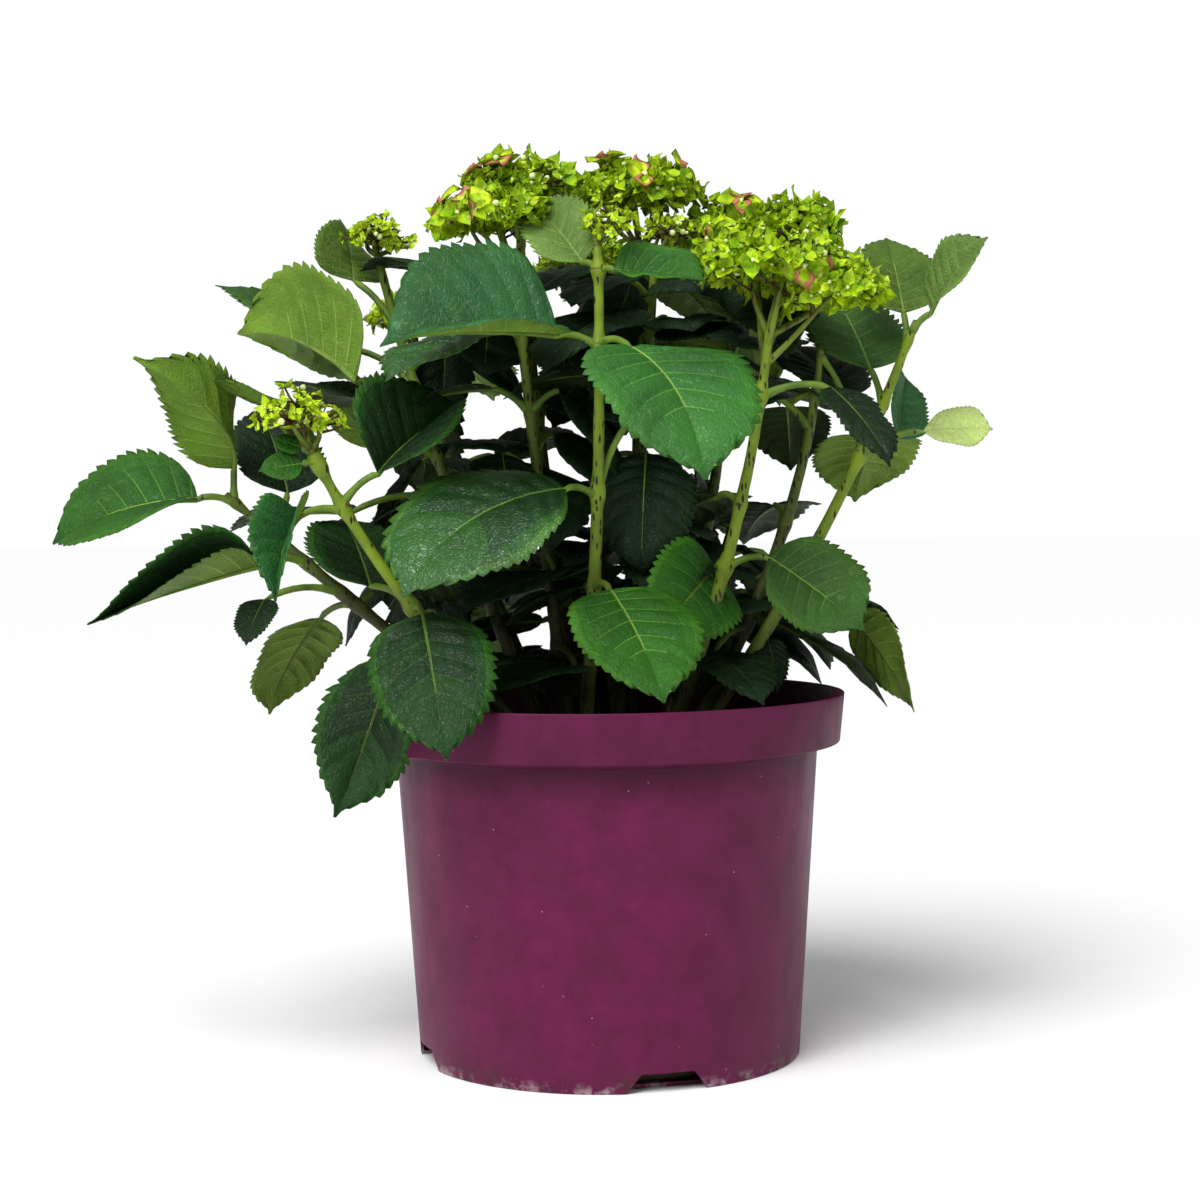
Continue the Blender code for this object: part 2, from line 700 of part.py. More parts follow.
def floret_mesh(place, up, radius, turn):
    """A floret: a flat star of four pointed sepals, a little domed and cupped."""
    bm = bmesh.new()
    bmesh.ops.create_circle(bm, cap_ends=False, segments=FLORET_POINTS, radius=radius)
    rim = list(bm.verts)
    for number, vert in enumerate(rim):
        if number % 2:
            vert.co *= FLORET_NOTCH
        else:
            vert.co.z = FLORET_CUP
    crest = bm.verts.new((0, 0, FLORET_DOME))
    keel = bm.verts.new((0, 0, -FLORET_KEEL))
    for before, after in zip(rim, rim[1:] + rim[:1]):
        bm.faces.new((before, after, crest))
        bm.faces.new((after, before, keel))
    stand = Matrix.Translation(place)
    stand @= Vector((0, 0, 1)).rotation_difference(up).to_matrix().to_4x4()
    stand @= Matrix.Rotation(math.radians(turn), 4, "Z")
    bmesh.ops.transform(bm, matrix=stand, verts=bm.verts)
    bmesh.ops.recalc_face_normals(bm, faces=bm.faces)
    return bm


def head_core(plan):
    """The dense middle of a flower head, that its florets stand out of."""
    bm = bmesh.new()
    detail = 2 if plan["width"] > SMALL_HEAD else 1
    bmesh.ops.create_icosphere(bm, subdivisions=detail, radius=1.0)
    wide = plan["width"] * CORE_WIDTH
    tall = plan["depth"] * CORE_HEIGHT
    for vert in bm.verts:
        lift = tall if vert.co.z > 0 else tall * CORE_UNDERSIDE
        offset = Vector((vert.co.x * wide, vert.co.y * wide, vert.co.z * lift))
        vert.co = plan["centre"] + offset
    return bm


def floret_spots(plan, draw):
    """Place, upward direction and size of each floret, spread evenly over the dome."""
    wide = plan["width"] * CORE_WIDTH
    tall = plan["depth"] * CORE_HEIGHT
    spots = []
    for number in range(plan["florets"]):
        share = math.sqrt((number + 0.5) / plan["florets"])
        spots.append((share * DOME_ANGLE, number * GOLDEN_ANGLE, 1.0))
    for heading in plan["sepals"]:
        spots.append((SEPAL_ANGLE, heading, SEPAL_SCALE))
    for angle, heading, scale in spots:
        out = direction(heading, 90 - angle)
        place = plan["centre"] + Vector((out.x * wide, out.y * wide, out.z * tall))
        up = (out + Vector((0, 0, FLORET_UPTURN))).normalized()
        yield place + up * draw.uniform(FLORET_LOW, FLORET_HIGH), up, FLORET_RADIUS * scale


def head_meshes(name, cane):
    """Stalk, rays, core and florets of a flower head, each a closed piece."""
    plan = cane["head"]
    draw = random.Random(name + "_head")
    points = mass_path(cane)[0]
    way = last_way(points)
    foot = points[-1] + way * GAP
    fork = foot + way * FORK_RISE
    pieces = [head_core(plan)]
    pieces.append(limb_mesh([foot, fork], [HEAD_STALK_RADIUS] * 2, STEM_SIDES))
    for number in range(plan["rays"]):
        heading = 360 * number / plan["rays"] + RAY_HEADING
        out = direction(heading, 0) * plan["width"] * RAY_SPREAD
        end = plan["centre"] + out
        start = fork - way * RAY_SINK
        bend = start.lerp(end, 0.5) + out * RAY_BOW
        radii = [RAY_FOOT_RADIUS, RAY_BEND_RADIUS, RAY_RADIUS]
        pieces.append(limb_mesh([start, bend, end], radii, RAY_SIDES))
    grown = Crown()
    for place, up, radius in floret_spots(plan, draw):
        floret = floret_mesh(place, up, radius, draw.uniform(0, 90))
        if grown.clear(fattened(floret, FLORET_CLEARANCE), name, ()):
            grown.add(floret, name, "floret")
            pieces.append(floret)
    return pieces


# -------------------------------------------------------------------------------- fusing

def is_closed(bm):
    """True where every edge joins exactly two faces."""
    return all(len(edge.link_faces) == 2 for edge in bm.edges)


def keep_main_body(bm):
    """Drops loose scraps and the inner skins of sealed hollows."""
    left = set(bm.faces)
    groups = []
    while left:
        queue = [left.pop()]
        group = list(queue)
        while queue:
            face = queue.pop()
            for edge in face.edges:
                for other in edge.link_faces:
                    if other in left:
                        left.remove(other)
                        queue.append(other)
                        group.append(other)
        groups.append(group)
    groups.sort(key=len)
    for group in groups[:-1]:
        bmesh.ops.delete(bm, geom=group, context="FACES")


def union(name, meshes, solver):
    """One Boolean union of closed pieces on a collection, as a cleaned bmesh."""
    items = []
    for number, bm in enumerate(meshes):
        items.append(make_object(name + "_piece_" + str(number), bm.copy()))
    holder = bpy.data.collections.new(name + "_pieces")
    bpy.context.scene.collection.children.link(holder)
    for item in items[1:]:
        bpy.context.scene.collection.objects.unlink(item)
        holder.objects.link(item)
    join = items[0].modifiers.new("join", "BOOLEAN")
    join.operation = "UNION"
    join.operand_type = "COLLECTION"
    join.collection = holder
    join.solver = solver
    view = bpy.context.evaluated_depsgraph_get()
    fused = bmesh.new()
    fused.from_mesh(items[0].evaluated_get(view).to_mesh())
    for item in items:
        bpy.data.objects.remove(item, do_unlink=True)
    bpy.data.collections.remove(holder)
    bmesh.ops.remove_doubles(fused, verts=fused.verts, dist=MERGE)
    bmesh.ops.dissolve_degenerate(fused, edges=fused.edges, dist=MERGE)
    bmesh.ops.triangulate(fused, faces=fused.faces)
    keep_main_body(fused)
    return fused


def fuse(name, meshes):
    """Joins pieces into one node; a join that fails is tried the other way, then with fewer."""
    pieces = list(meshes)
    while pieces:
        for solver in ("EXACT", "MANIFOLD"):
            fused = union(name, pieces, solver)
            if fused.faces and is_closed(fused):
                return make_object(name, fused)
            print("join of", name, "failed with", solver)
            fused.free()
        pieces = pieces[:-2]
    return None


# --------------------------------------------------------------------------------- build

def build():
    """Makes every node of the shrub."""
    clear_scene()
    crown = Crown()
    view = bpy.context.evaluated_depsgraph_get()
    for item in (make_pot(), make_soil()):
        view.update()
        shell = bmesh.new()
        shell.from_object(item, view)
        crown.add(shell, item.name, "pot")
        shell.free()
    masses = {}
    heads = {}
    for name, cane in CANES.items():
        limb = bare_limb(cane)
        stem = mass_stem(cane)
        crown.add(limb, name, "stem")
        crown.add(stem, name, "stem")
        finish(make_object(name + "_cane", limb), *CANE_FINISH)
        masses[name] = [stem]
        if cane["head"]:
            heads[name] = head_meshes(name, cane)
            for piece in heads[name]:
                crown.add(piece, name, "head")
    wanted = [(name, one, False) for name in CANES for one in CANES[name]["leaves"]]
    wanted += [(name, one, True) for name in CANES for one in rule_leaves(name, CANES[name])]
    for name, one, by_rule in wanted:
        masses[name] += grow_leaf(crown, name, CANES[name], one, by_rule)
    for name, pieces in masses.items():
        finish(fuse(name + "_foliage", pieces), *LEAF_FINISH)
    for name, pieces in heads.items():
        finish(fuse(name + "_flower_head", pieces), *FLOWER_FINISH)


build()
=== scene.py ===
import math
import random

import bmesh
import bpy
from mathutils import Matrix, Vector, noise
from mathutils.bvhtree import BVHTree


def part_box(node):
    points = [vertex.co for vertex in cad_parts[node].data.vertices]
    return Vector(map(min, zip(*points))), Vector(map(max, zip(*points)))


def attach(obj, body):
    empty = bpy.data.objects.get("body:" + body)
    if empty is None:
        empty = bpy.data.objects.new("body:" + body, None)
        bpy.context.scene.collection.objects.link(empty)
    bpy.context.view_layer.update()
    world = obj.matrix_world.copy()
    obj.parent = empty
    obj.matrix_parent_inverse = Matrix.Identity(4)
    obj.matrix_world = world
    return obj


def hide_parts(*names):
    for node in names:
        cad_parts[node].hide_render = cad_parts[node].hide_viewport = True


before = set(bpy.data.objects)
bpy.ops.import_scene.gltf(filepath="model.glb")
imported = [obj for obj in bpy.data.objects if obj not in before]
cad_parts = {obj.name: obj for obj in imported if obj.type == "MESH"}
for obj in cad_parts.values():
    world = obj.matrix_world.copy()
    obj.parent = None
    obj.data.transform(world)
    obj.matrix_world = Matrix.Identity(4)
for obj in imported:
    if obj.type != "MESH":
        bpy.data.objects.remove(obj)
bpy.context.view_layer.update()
scene = bpy.context.scene
zUp = Vector((0, 0, 1))
print("frame loaded:", len(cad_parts), "nodes")


# Camera, level with the leaves and a little above the pot's rim.
cameraLook = dict(place=(-0.01049, -1.18737, 0.27190), down=2.535, turn=0.383, roll=0.656, lens=73.66)


def makeCamera():
    data = bpy.data.cameras.new("camera")
    data.lens = cameraLook["lens"]
    data.sensor_width = 36.0
    data.clip_start = 0.05
    camera = bpy.data.objects.new("camera", data)
    aim = Matrix.Rotation(-math.radians(cameraLook["turn"]), 4, "Z")
    aim @= Matrix.Rotation(math.radians(90 - cameraLook["down"]), 4, "X")
    aim @= Matrix.Rotation(-math.radians(cameraLook["roll"]), 4, "Z")
    camera.matrix_world = Matrix.Translation(cameraLook["place"]) @ aim
    scene.collection.objects.link(camera)
    scene.camera = camera


# Studio: pale floor, white surroundings, one soft key light, one fill and one from above.
studioLook = dict(floorColour=(0.90, 0.90, 0.90), floorSize=12.0, ambient=0.36, background=1.0)
lightLooks = {
    "overhead": dict(kind="SUN", place=(-0.45, -0.80, 1.60), size=math.radians(36), power=3.0),
    "key": dict(kind="AREA", place=(-0.80, -1.30, 0.95), size=0.45, power=7.0),
    "fill": dict(kind="AREA", place=(1.25, -1.05, 0.75), size=0.8, power=3.0),
}


def makeStudio():
    bm = bmesh.new()
    bmesh.ops.create_grid(bm, x_segments=2, y_segments=2, size=studioLook["floorSize"])
    floor = addPiece("floor", bm)
    material = bpy.data.materials.new("studioFloor")
    material.use_nodes = True
    shader = material.node_tree.nodes["Principled BSDF"]
    shader.inputs["Base Color"].default_value = (*studioLook["floorColour"], 1)
    shader.inputs["Roughness"].default_value = 0.8
    floor.data.materials.append(material)
    world = bpy.data.worlds.new("studioWorld")
    world.use_nodes = True
    tree = world.node_tree
    tree.nodes["Background"].inputs["Color"].default_value = (1, 1, 1, 1)
    direct = addNode(tree, "LightPath").outputs["Is Camera Ray"]
    strength = spread(tree, direct, 0.0, 1.0, studioLook["ambient"], studioLook["background"])
    tree.links.new(strength, tree.nodes["Background"].inputs["Strength"])
    scene.world = world
    scene.view_settings.view_transform = "Standard"
    for name, look in lightLooks.items():
        data = bpy.data.lights.new(name, look["kind"])
        if look["kind"] == "SUN":
            data.angle = look["size"]
        else:
            data.shape = "DISK"
            data.size = look["size"]
        data.energy = look["power"]
        light = bpy.data.objects.new(name, data)
        light.location = look["place"]
        aim = Vector((-0.02, 0, 0.26)) - Vector(look["place"])
        light.rotation_euler = aim.to_track_quat("-Z", "Y").to_euler()
        scene.collection.objects.link(light)


# Small helpers for meshes, pieces and seeded differences.
def meshFrom(name, bm):
    mesh = bpy.data.meshes.new(name)
    bm.to_mesh(mesh)
    bm.free()
    return mesh


def addPiece(name, bm):
    piece = bpy.data.objects.new(name, meshFrom(name, bm))
    scene.collection.objects.link(piece)
    return piece


def ship(piece, nodes):
    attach(piece, "root")
    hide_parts(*nodes)


def facesOf(verts):
    return {face for vert in verts for face in vert.link_faces}


def smoothFaces(bm):
    for face in bm.faces:
        face.smooth = True


def closeUp(bm):
    # seams merged and faces turned outwards
    bmesh.ops.remove_doubles(bm, verts=bm.verts, dist=1e-6)
    bmesh.ops.recalc_face_normals(bm, faces=bm.faces)


def spinProfile(bm, profile, steps, bevel=0.0):
    # a shell turned from (radius, height) pairs that start and end on the axis
    verts = [bm.verts.new((radius, 0, height)) for radius, height in profile]
    for pair in zip(verts, verts[1:]):
        bm.edges.new(pair)
    if bevel:
        bmesh.ops.bevel(bm, geom=verts[1:-2], affect="VERTICES", offset=bevel, segments=3, profile=0.5,
                        material=-1)
    bmesh.ops.spin(bm, geom=bm.verts[:] + bm.edges[:], cent=(0, 0, 0), axis=(0, 0, 1), angle=math.tau,
                   steps=steps, use_merge=True)
    closeUp(bm)


def sway(draw, swing):
    # a random step to either side
    return draw.uniform(-1, 1) * swing


def direction(heading, rise):
    turn, lift = math.radians(heading), math.radians(rise)
    return Vector((math.cos(lift) * math.cos(turn), math.cos(lift) * math.sin(turn), math.sin(lift)))


def smooth(value):
    value = min(1.0, max(0.0, value))
    return value * value * (3 - 2 * value)


def along(keys, at):
    # value of a smooth curve through (place, value) pairs
    for (x0, y0), (x1, y1) in zip(keys, keys[1:]):
        if at <= x1:
            return y0 + (y1 - y0) * smooth((at - x0) / (x1 - x0))
    return keys[-1][1]


# Round limbs: each path is a list of (point, radius) pairs, all joined in one mesh.
def tubes(name, paths, sides=8):
    data = bpy.data.curves.new(name + "Path", "CURVE")
    data.dimensions = "3D"
    data.bevel_depth = 1.0
    data.bevel_resolution = sides // 2 - 2
    data.use_fill_caps = True
    data.twist_mode = "MINIMUM"
    for path in paths:
        spline = data.splines.new("POLY")
        spline.points.add(len(path) - 1)
        for point, (place, radius) in zip(spline.points, path):
            point.co = (*place, 1)
            point.radius = radius
    guide = bpy.data.objects.new(name + "Guide", data)
    scene.collection.objects.link(guide)
    bpy.context.view_layer.update()
    view = bpy.context.evaluated_depsgraph_get()
    mesh = bpy.data.meshes.new_from_object(guide.evaluated_get(view))
    bpy.data.objects.remove(guide, do_unlink=True)
    bm = bmesh.new()
    bm.from_mesh(mesh)
    bpy.data.meshes.remove(mesh)
    closeUp(bm)
    smoothFaces(bm)
    return bm


# Materials: a few node helpers, then one function for each kind of finish.
def feed(tree, node, sockets):
    # an output is linked, a number or a colour is set
    for key, value in dict(sockets).items():
        if isinstance(value, bpy.types.NodeSocket):
            tree.links.new(value, node.inputs[key])
        else:
            node.inputs[key].default_value = value


def addNode(tree, kind, sockets=(), **settings):
    node = tree.nodes.new("ShaderNode" + kind)
    for key, value in settings.items():
        setattr(node, key, value)
    feed(tree, node, sockets)
    return node


def speckle(tree, place, scale, detail=3.0, rough=0.55):
    sockets = {"Vector": place, "Scale": scale, "Detail": detail, "Roughness": rough}
    return addNode(tree, "TexNoise", sockets).outputs["Fac"]


def spread(tree, value, low, high, toLow=0.0, toHigh=1.0):
    sockets = {"Value": value, "From Min": low, "From Max": high, "To Min": toLow, "To Max": toHigh}
    return addNode(tree, "MapRange", sockets).outputs["Result"]


def mixColours(tree, share, first, second):
    first, second = ((*colour, 1) if isinstance(colour, tuple) else colour for colour in (first, second))
    return addNode(tree, "Mix", {0: share, 6: first, 7: second}, data_type="RGBA").outputs[2]


def combine(tree, operation, first, second):
    return addNode(tree, "Math", {0: first, 1: second}, operation=operation).outputs[0]


def times(tree, first, second):
    return combine(tree, "MULTIPLY", first, second)


def patches(tree, place, noiseLook, low, high):
    # soft patches: 0 where the noise is below low, 1 where it is above high
    return spread(tree, speckle(tree, place, *noiseLook), low, high)


def heightOf(tree, place):
    return addNode(tree, "SeparateXYZ", {0: place}).outputs["Z"]


def spots(tree, place, scale, inner, outer, share):
    # round spots in a share of the cells of a pattern
    cells = addNode(tree, "TexVoronoi", {"Vector": place, "Scale": scale})
    mark = spread(tree, cells.outputs["Distance"], inner, outer, 1.0, 0.0)
    lot = addNode(tree, "SeparateColor", {0: cells.outputs["Color"]}).outputs[0]
    return times(tree, mark, spread(tree, lot, 1.0 - share - 0.02, 1.0 - share))


def scaled(colour, factor):
    return tuple(min(1.0, part * factor) for part in colour)


def newMaterial(name):
    material = bpy.data.materials.new(name)
    material.use_nodes = True
    tree = material.node_tree
    shader = tree.nodes["Principled BSDF"]
    place = addNode(tree, "TexCoord").outputs["Object"]
    return material, tree, shader, place


def finishShader(tree, shader, base, roughness, specular, height, strength, distance):
    bump = addNode(tree, "Bump", {"Strength": strength, "Distance": distance, "Height": height})
    feed(tree, shader, {"Base Color": base, "Roughness": roughness, "Specular IOR Level": specular,
                        "Normal": bump.outputs["Normal"]})


def stretched(tree, place, scale):
    return addNode(tree, "Mapping", {"Vector": place, "Scale": scale}).outputs["Vector"]


# A chosen leaf: where its stalk leaves the cane and how it points, then how the blade turns
# from the stalk, its pitch, length, breadth for its length, droop, roll, fold, twist and
# sideways bend, and its tint. Metres and degrees, as everywhere below.
def leaf(height, heading, rise, stalk, turn, pitch, length, width=0.74, droop=22.0, roll=0.0, fold=10.0,
         twist=None, bend=0.0, tint=None):
    return dict(height=height, heading=heading, rise=rise, stalk=stalk, turn=turn, pitch=pitch,
                length=length, width=width * length, droop=droop, roll=roll, fold=fold, twist=twist,
                bend=bend, tint=tint)


def pairs(low, high, count, heading):
    return dict(low=low, high=high, count=count, heading=heading)


def head(centre, width, depth, rays, sepals=(), tint="lime", droop=0.0):
    return dict(centre=Vector(centre), width=width, depth=depth, rays=rays, sepals=sepals, tint=tint,
                droop=droop)


def stem(foot, top, lean, bare, leaves=(), rule=(), head=None):
    return dict(foot=foot, top=top, lean=lean, bare=bare, leaves=leaves, rule=rule, head=head)


# The canes: foot, tip, bow, bare length, leaves that have a chosen place, leaves that
# follow the rule of opposite pairs, and the flower head.
canes = {
    "front": stem(
        foot=(-0.011, -0.019), top=(-0.002, -0.051, 0.384), lean=1.15, bare=0.214,
        leaves=(
            leaf(0.227, -74, 0, 0.0227, 13, -41, 0.0729, 0.81, 14, 7, 9, 4, -9, "grass"),
            leaf(0.269, -133, 12, 0.0189, -34, -30, 0.0975, 0.87, 51, -21, 2, -6, 27, "glossy"),
            leaf(0.273, 43, 57, 0.033, 32, 18, 0.068),
            leaf(0.338, -154, 16, 0.0187, -1, -3, 0.0854, 1.22, 14, -33, 39, 4, -9, "bluish"),
            leaf(0.340, -60, -6, 0.0249, 6, -44, 0.0895, 0.88, 49, 2, 9, 11, -12, "fresh"),
            leaf(0.374, 133, 20, 0.0090, -19, 34, 0.0627, 0.61, 4, -28, 27, -8, 12, "young"),
            leaf(0.373, -40, 2, 0.0070, 53, -8, 0.0429, 0.99, 6, 34, 26, -14, -52, "grass"),
        ),
        head=head((0.004, -0.050, 0.3955), 0.026, 0.020, 3, (), "bright"),
    ),
    "front_right": stem(
        foot=(0.027, -0.030), top=(0.077, -0.046, 0.345), lean=0.78, bare=0.220,
        leaves=(
            leaf(0.235, -26, 14, 0.0198, 24, -36, 0.0560, 0.93, 4, 37, 14, 16, -43, "moss"),
            leaf(0.237, 100, -8, 0.0184, 147, -32, 0.0635, 0.80, 37, -58, 19, 4, -23, "grass"),
            leaf(0.265, 112, 10, 0.022, 0, -15, 0.072),
            leaf(0.315, -6, 7, 0.030, -53, -39, 0.058, 0.50),
            leaf(0.317, 150, 20, 0.020, 0, -10, 0.075),
        ),
        head=head((0.089, -0.030, 0.384), 0.084, 0.052, 6,
                  ((-86, -20), (-74, -28), (175, 10), (-150, -5)), droop=0.30),
    ),
    "mid_right": stem(
        foot=(0.038, 0.000), top=(0.106, 0.008, 0.340), lean=0.87, bare=0.196,
        leaves=(
            # a low leaf inside the crown in the darkest tint, painted shade
            leaf(0.205, -126, -19, 0.027, 57, -20, 0.060, 0.60, tint="paintedShade"),
            leaf(0.213, -58, -46, 0.013, -25, -43, 0.036, 0.42),
            leaf(0.255, 98, 20, 0.024, 0, -15, 0.078),
            leaf(0.318, 137, -18, 0.016, -54, -36, 0.052, 0.80),
            leaf(0.336, 18, -57, 0.021, 97, 28, 0.062),
        ),
    ),
    "right": stem(
        foot=(0.040, -0.019), top=(0.151, 0.000, 0.352), lean=0.66, bare=0.222,
        leaves=(
            leaf(0.236, 26, -44, 0.0345, -54, -52, 0.0567, 0.87, 9, -57, 7, 15, -17, "soft"),
            leaf(0.286, -22, 22, 0.0316, 11, 1, 0.0329, 1.02, 11, 13, 9, 46, 3, "pale"),
            leaf(0.290, 63, 23, 0.017, 32, -31, 0.062, 0.85, tint="grass"),
            leaf(0.294, 41, 4, 0.0198, 32, 49, 0.0432, 0.76, 33, 60, 32, 3, 0, "bluish"),
            leaf(0.312, 108, 52, 0.020, 0, 40, 0.070, tint="moss"),
            leaf(0.342, 94, 57, 0.015, 2, 48, 0.055, tint="soft"),
            leaf(0.347, -17, 42, 0.0104, -46, 46, 0.0475, 0.85, 8, 60, 22, -2, 36, "young"),
        ),
    ),
    "front_left": stem(
        foot=(-0.030, -0.038), top=(-0.133, -0.064, 0.290), lean=0.67, bare=0.190,
        leaves=(
            leaf(0.201, -159, -13, 0.0228, -52, -70, 0.0766, 0.66, -2, -59, 22, -29, 74, "rich"),
            leaf(0.218, -78, -1, 0.0214, 1, -51, 0.0786, 0.71, 19, 11, 4, 5, 4, "rich"),
            leaf(0.220, 144, 20, 0.023, -35, 30, 0.064, 0.80, tint="rich"),
            leaf(0.264, -153, -3, 0.0190, 52, -35, 0.0652, 0.67, 38, 5, 60, 4, 9, "bluish"),
            leaf(0.267, -6, 40, 0.0197, 78, 27, 0.0747, 1.02, 0, 28, 49, -8, -32, "rich"),
            leaf(0.283, 123, 52, 0.0330, 42, 14, 0.0600, 0.42, 8, 14, 8, tint="moss"),
            leaf(0.286, -165, 0, 0.0050, 0, -8, 0.0200, 0.85, 5, -50, tint="grass"),
            leaf(0.289, 175, 35, 0.0050, 0, 18, 0.0140, 0.80, 5, -50, tint="grass"),
        ),
        head=head((-0.140, -0.064, 0.309), 0.040, 0.020, 3, (), "bright"),
    ),
    "far_left": stem(
        foot=(-0.036, -0.006), top=(-0.180, -0.015, 0.272), lean=0.53, bare=0.200,
        leaves=(
            leaf(0.218, 132, -11, 0.0292, 15, -53, 0.0606, 0.81, 21, 10, 4, -11, -6, "soft"),
            leaf(0.225, -152, -3, 0.036, 48, -39, 0.032, 0.60),
            leaf(0.239, -136, 1, 0.0241, -41, -18, 0.0849, 0.82, 7, -44, 78, -34, 25, "rich"),
            leaf(0.250, 69, 68, 0.022, 47, 46, 0.060),
            leaf(0.268, -171, 9, 0.0158, -4, -16, 0.0754, 0.97, 30, -19, 20, -28, -19, "grass"),
            leaf(0.269, 93, 78, 0.0137, -164, 36, 0.0858, 0.60, -5, 49, 45, 11, -100, "moss"),
        ),
    ),
    "upper_left": stem(
        foot=(-0.030, 0.016), top=(-0.109, 0.022, 0.386), lean=0.62, bare=0.255,
        leaves=(
            leaf(0.318, -143, 13, 0.0340, -74, 20, 0.0790, 1.03, 43, 47, 30, 9, 10, "moss"),
            leaf(0.268, -158, -5, 0.049, -48, -7, 0.072, 0.60),
            leaf(0.290, -156, 6, 0.026, 43, 24, 0.050, tint="moss"),
            leaf(0.305, -160, 21, 0.035, -64, 7, 0.060, 0.64),
            leaf(0.324, 147, 25, 0.046, 22, 28, 0.075, 0.55, 12, -12, 10, tint="moss"),
            leaf(0.352, 168, 48, 0.0306, -72, 55, 0.0405, 1.00, -5, 13, 2, 33, 25, "soft"),
        ),
        rule=(pairs(0.285, 0.350, 2, 60),),
        head=head((-0.109, 0.022, 0.398), 0.034, 0.016, 3),
    ),
    "mid_left": stem(
        foot=(-0.018, 0.006), top=(-0.042, 0.004, 0.376), lean=0.53, bare=0.186,
        leaves=(
            leaf(0.196, -69, -18, 0.023, -66, -8, 0.056, 0.80),
            leaf(0.242, -66, -42, 0.010, -65, -14, 0.066),
            leaf(0.345, -133, 20, 0.011, -2, -18, 0.080, tint="glossy"),
            leaf(0.350, 51, 61, 0.018, 0, 21, 0.050, 0.80),
            leaf(0.368, 180, 22, 0.021, -20, 6, 0.060),
        ),
        rule=(pairs(0.244, 0.310, 2, 120),),
        head=head((-0.051, -0.004, 0.4045), 0.056, 0.022, 5, ((185, 12), (-120, 12))),
    ),
    "centre": stem(
        foot=(0.004, 0.004), top=(0.026, 0.026, 0.378), lean=0.60, bare=0.200,
        rule=(pairs(0.215, 0.350, 5, 75),),
        head=head((0.034, 0.018, 0.3985), 0.028, 0.016, 3, (), "bright"),
    ),
    "back_left_centre": stem(
        foot=(-0.010, 0.024), top=(-0.040, 0.050, 0.396), lean=0.70, bare=0.225,
        rule=(pairs(0.240, 0.375, 5, 160),),
        head=head((-0.040, 0.050, 0.4270), 0.052, 0.022, 5, ((190, 25), (-130, 45))),
    ),
    "back_right_centre": stem(
        foot=(0.011, 0.024), top=(0.020, 0.050, 0.390), lean=0.70, bare=0.225,
        rule=(pairs(0.240, 0.370, 5, 30),),
        head=head((0.0165, 0.046, 0.4225), 0.064, 0.025, 5, ((-150, 60), (-20, 30), (-80, 12))),
    ),
    "back_right": stem(
        foot=(0.028, 0.018), top=(0.070, 0.058, 0.384), lean=0.75, bare=0.215,
        rule=(pairs(0.232, 0.368, 5, 60),),
        head=head((0.067, 0.056, 0.402), 0.058, 0.026, 5, ((20, 12), (-80, 50))),
    ),
    "back_left_low": stem(
        foot=(-0.024, 0.032), top=(-0.095, 0.095, 0.345), lean=0.70, bare=0.190,
        rule=(pairs(0.205, 0.335, 5, 100),),
        head=head((-0.098, 0.098, 0.364), 0.044, 0.018, 3),
    ),
    "back_right_low": stem(
        foot=(0.026, 0.034), top=(0.086, 0.104, 0.325), lean=0.70, bare=0.190,
        rule=(pairs(0.205, 0.320, 5, 10),),
    ),
    "back_centre": stem(
        foot=(0.000, 0.038), top=(0.000, 0.112, 0.362), lean=0.72, bare=0.195,
        rule=(pairs(0.212, 0.350, 5, 45),),
        head=head((0.000, 0.114, 0.388), 0.066, 0.030, 5, ((100, 12),)),
    ),
}
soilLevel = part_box("compost")[1].z
massNodes = [name + "_foliage" for name in canes]


def canePoint(cane, height):
    share = (height - soilLevel) / (cane["top"][2] - soilLevel)
    share = 2 * share * (1 - share) * cane["lean"] + share * share
    x = cane["foot"][0] + (cane["top"][0] - cane["foot"][0]) * share
    y = cane["foot"][1] + (cane["top"][1] - cane["foot"][1]) * share
    return Vector((x, y, height))


caneLook = dict(footRadius=0.0035, tipRadius=0.0021, flare=0.45, flareHeight=0.012, ringSpacing=0.0032,
                band=0.0006, sides=12, nodeSwell=0.0009, nodeReach=0.0035, relief=0.00013,
                clear=0.0012, ridges=900.0, ridgeLength=120.0, endReach=0.024, endTaper=0.50,
                blunt=0.0003, over=0.0005)


def caneRadius(cane, height):
    share = (height - soilLevel) / (cane["top"][2] - soilLevel)
    return caneLook["footRadius"] + (caneLook["tipRadius"] - caneLook["footRadius"]) * share


# Leaves by the rule: opposite pairs, each a quarter turn on, with seeded differences.
ruleLook = dict(length=0.084, smallest=0.86, largest=1.10, stalk=0.024, rise=26.0, pitch=-22.0,
                droop=26.0, jitter=14.0, sag=16.0, tipReach=0.0004, baseReach=0.003)
triesLook = dict(count=24, swing=5.0, wider=2.4, lift=0.7, shorter=0.014)


def ruleLeaves(name, cane):
    draw = random.Random(name)
    look, swing = ruleLook, ruleLook["jitter"]
    grown = []
    for run in cane["rule"]:
        for number in range(run["count"]):
            height = run["low"] + (run["high"] - run["low"]) * number / max(1, run["count"] - 1)
            for side in (0, 180):
                heading = run["heading"] + 90 * number + side + sway(draw, swing)
                rise, pitch = look["rise"] + sway(draw, swing), look["pitch"] + sway(draw, swing)
                size = draw.uniform(look["smallest"], look["largest"])
                turn, roll = sway(draw, swing), sway(draw, swing)
                grown.append(leaf(height, heading, rise, look["stalk"], turn, pitch, look["length"] * size,
                                  droop=look["droop"], roll=roll))
    return grown


def tries(one):
    # turns and sizes that a leaf tries in order until it is clear of its neighbours
    look = triesLook
    draw = random.Random(str(one["height"]) + str(one["heading"]))
    yield 0.0, 0.0, 1.0
    for number in range(look["count"]):
        swing = look["swing"] + look["wider"] * number
        turn = sway(draw, swing)
        lift = sway(draw, swing) * look["lift"]
        yield turn, lift, 1.0 - look["shorter"] * number


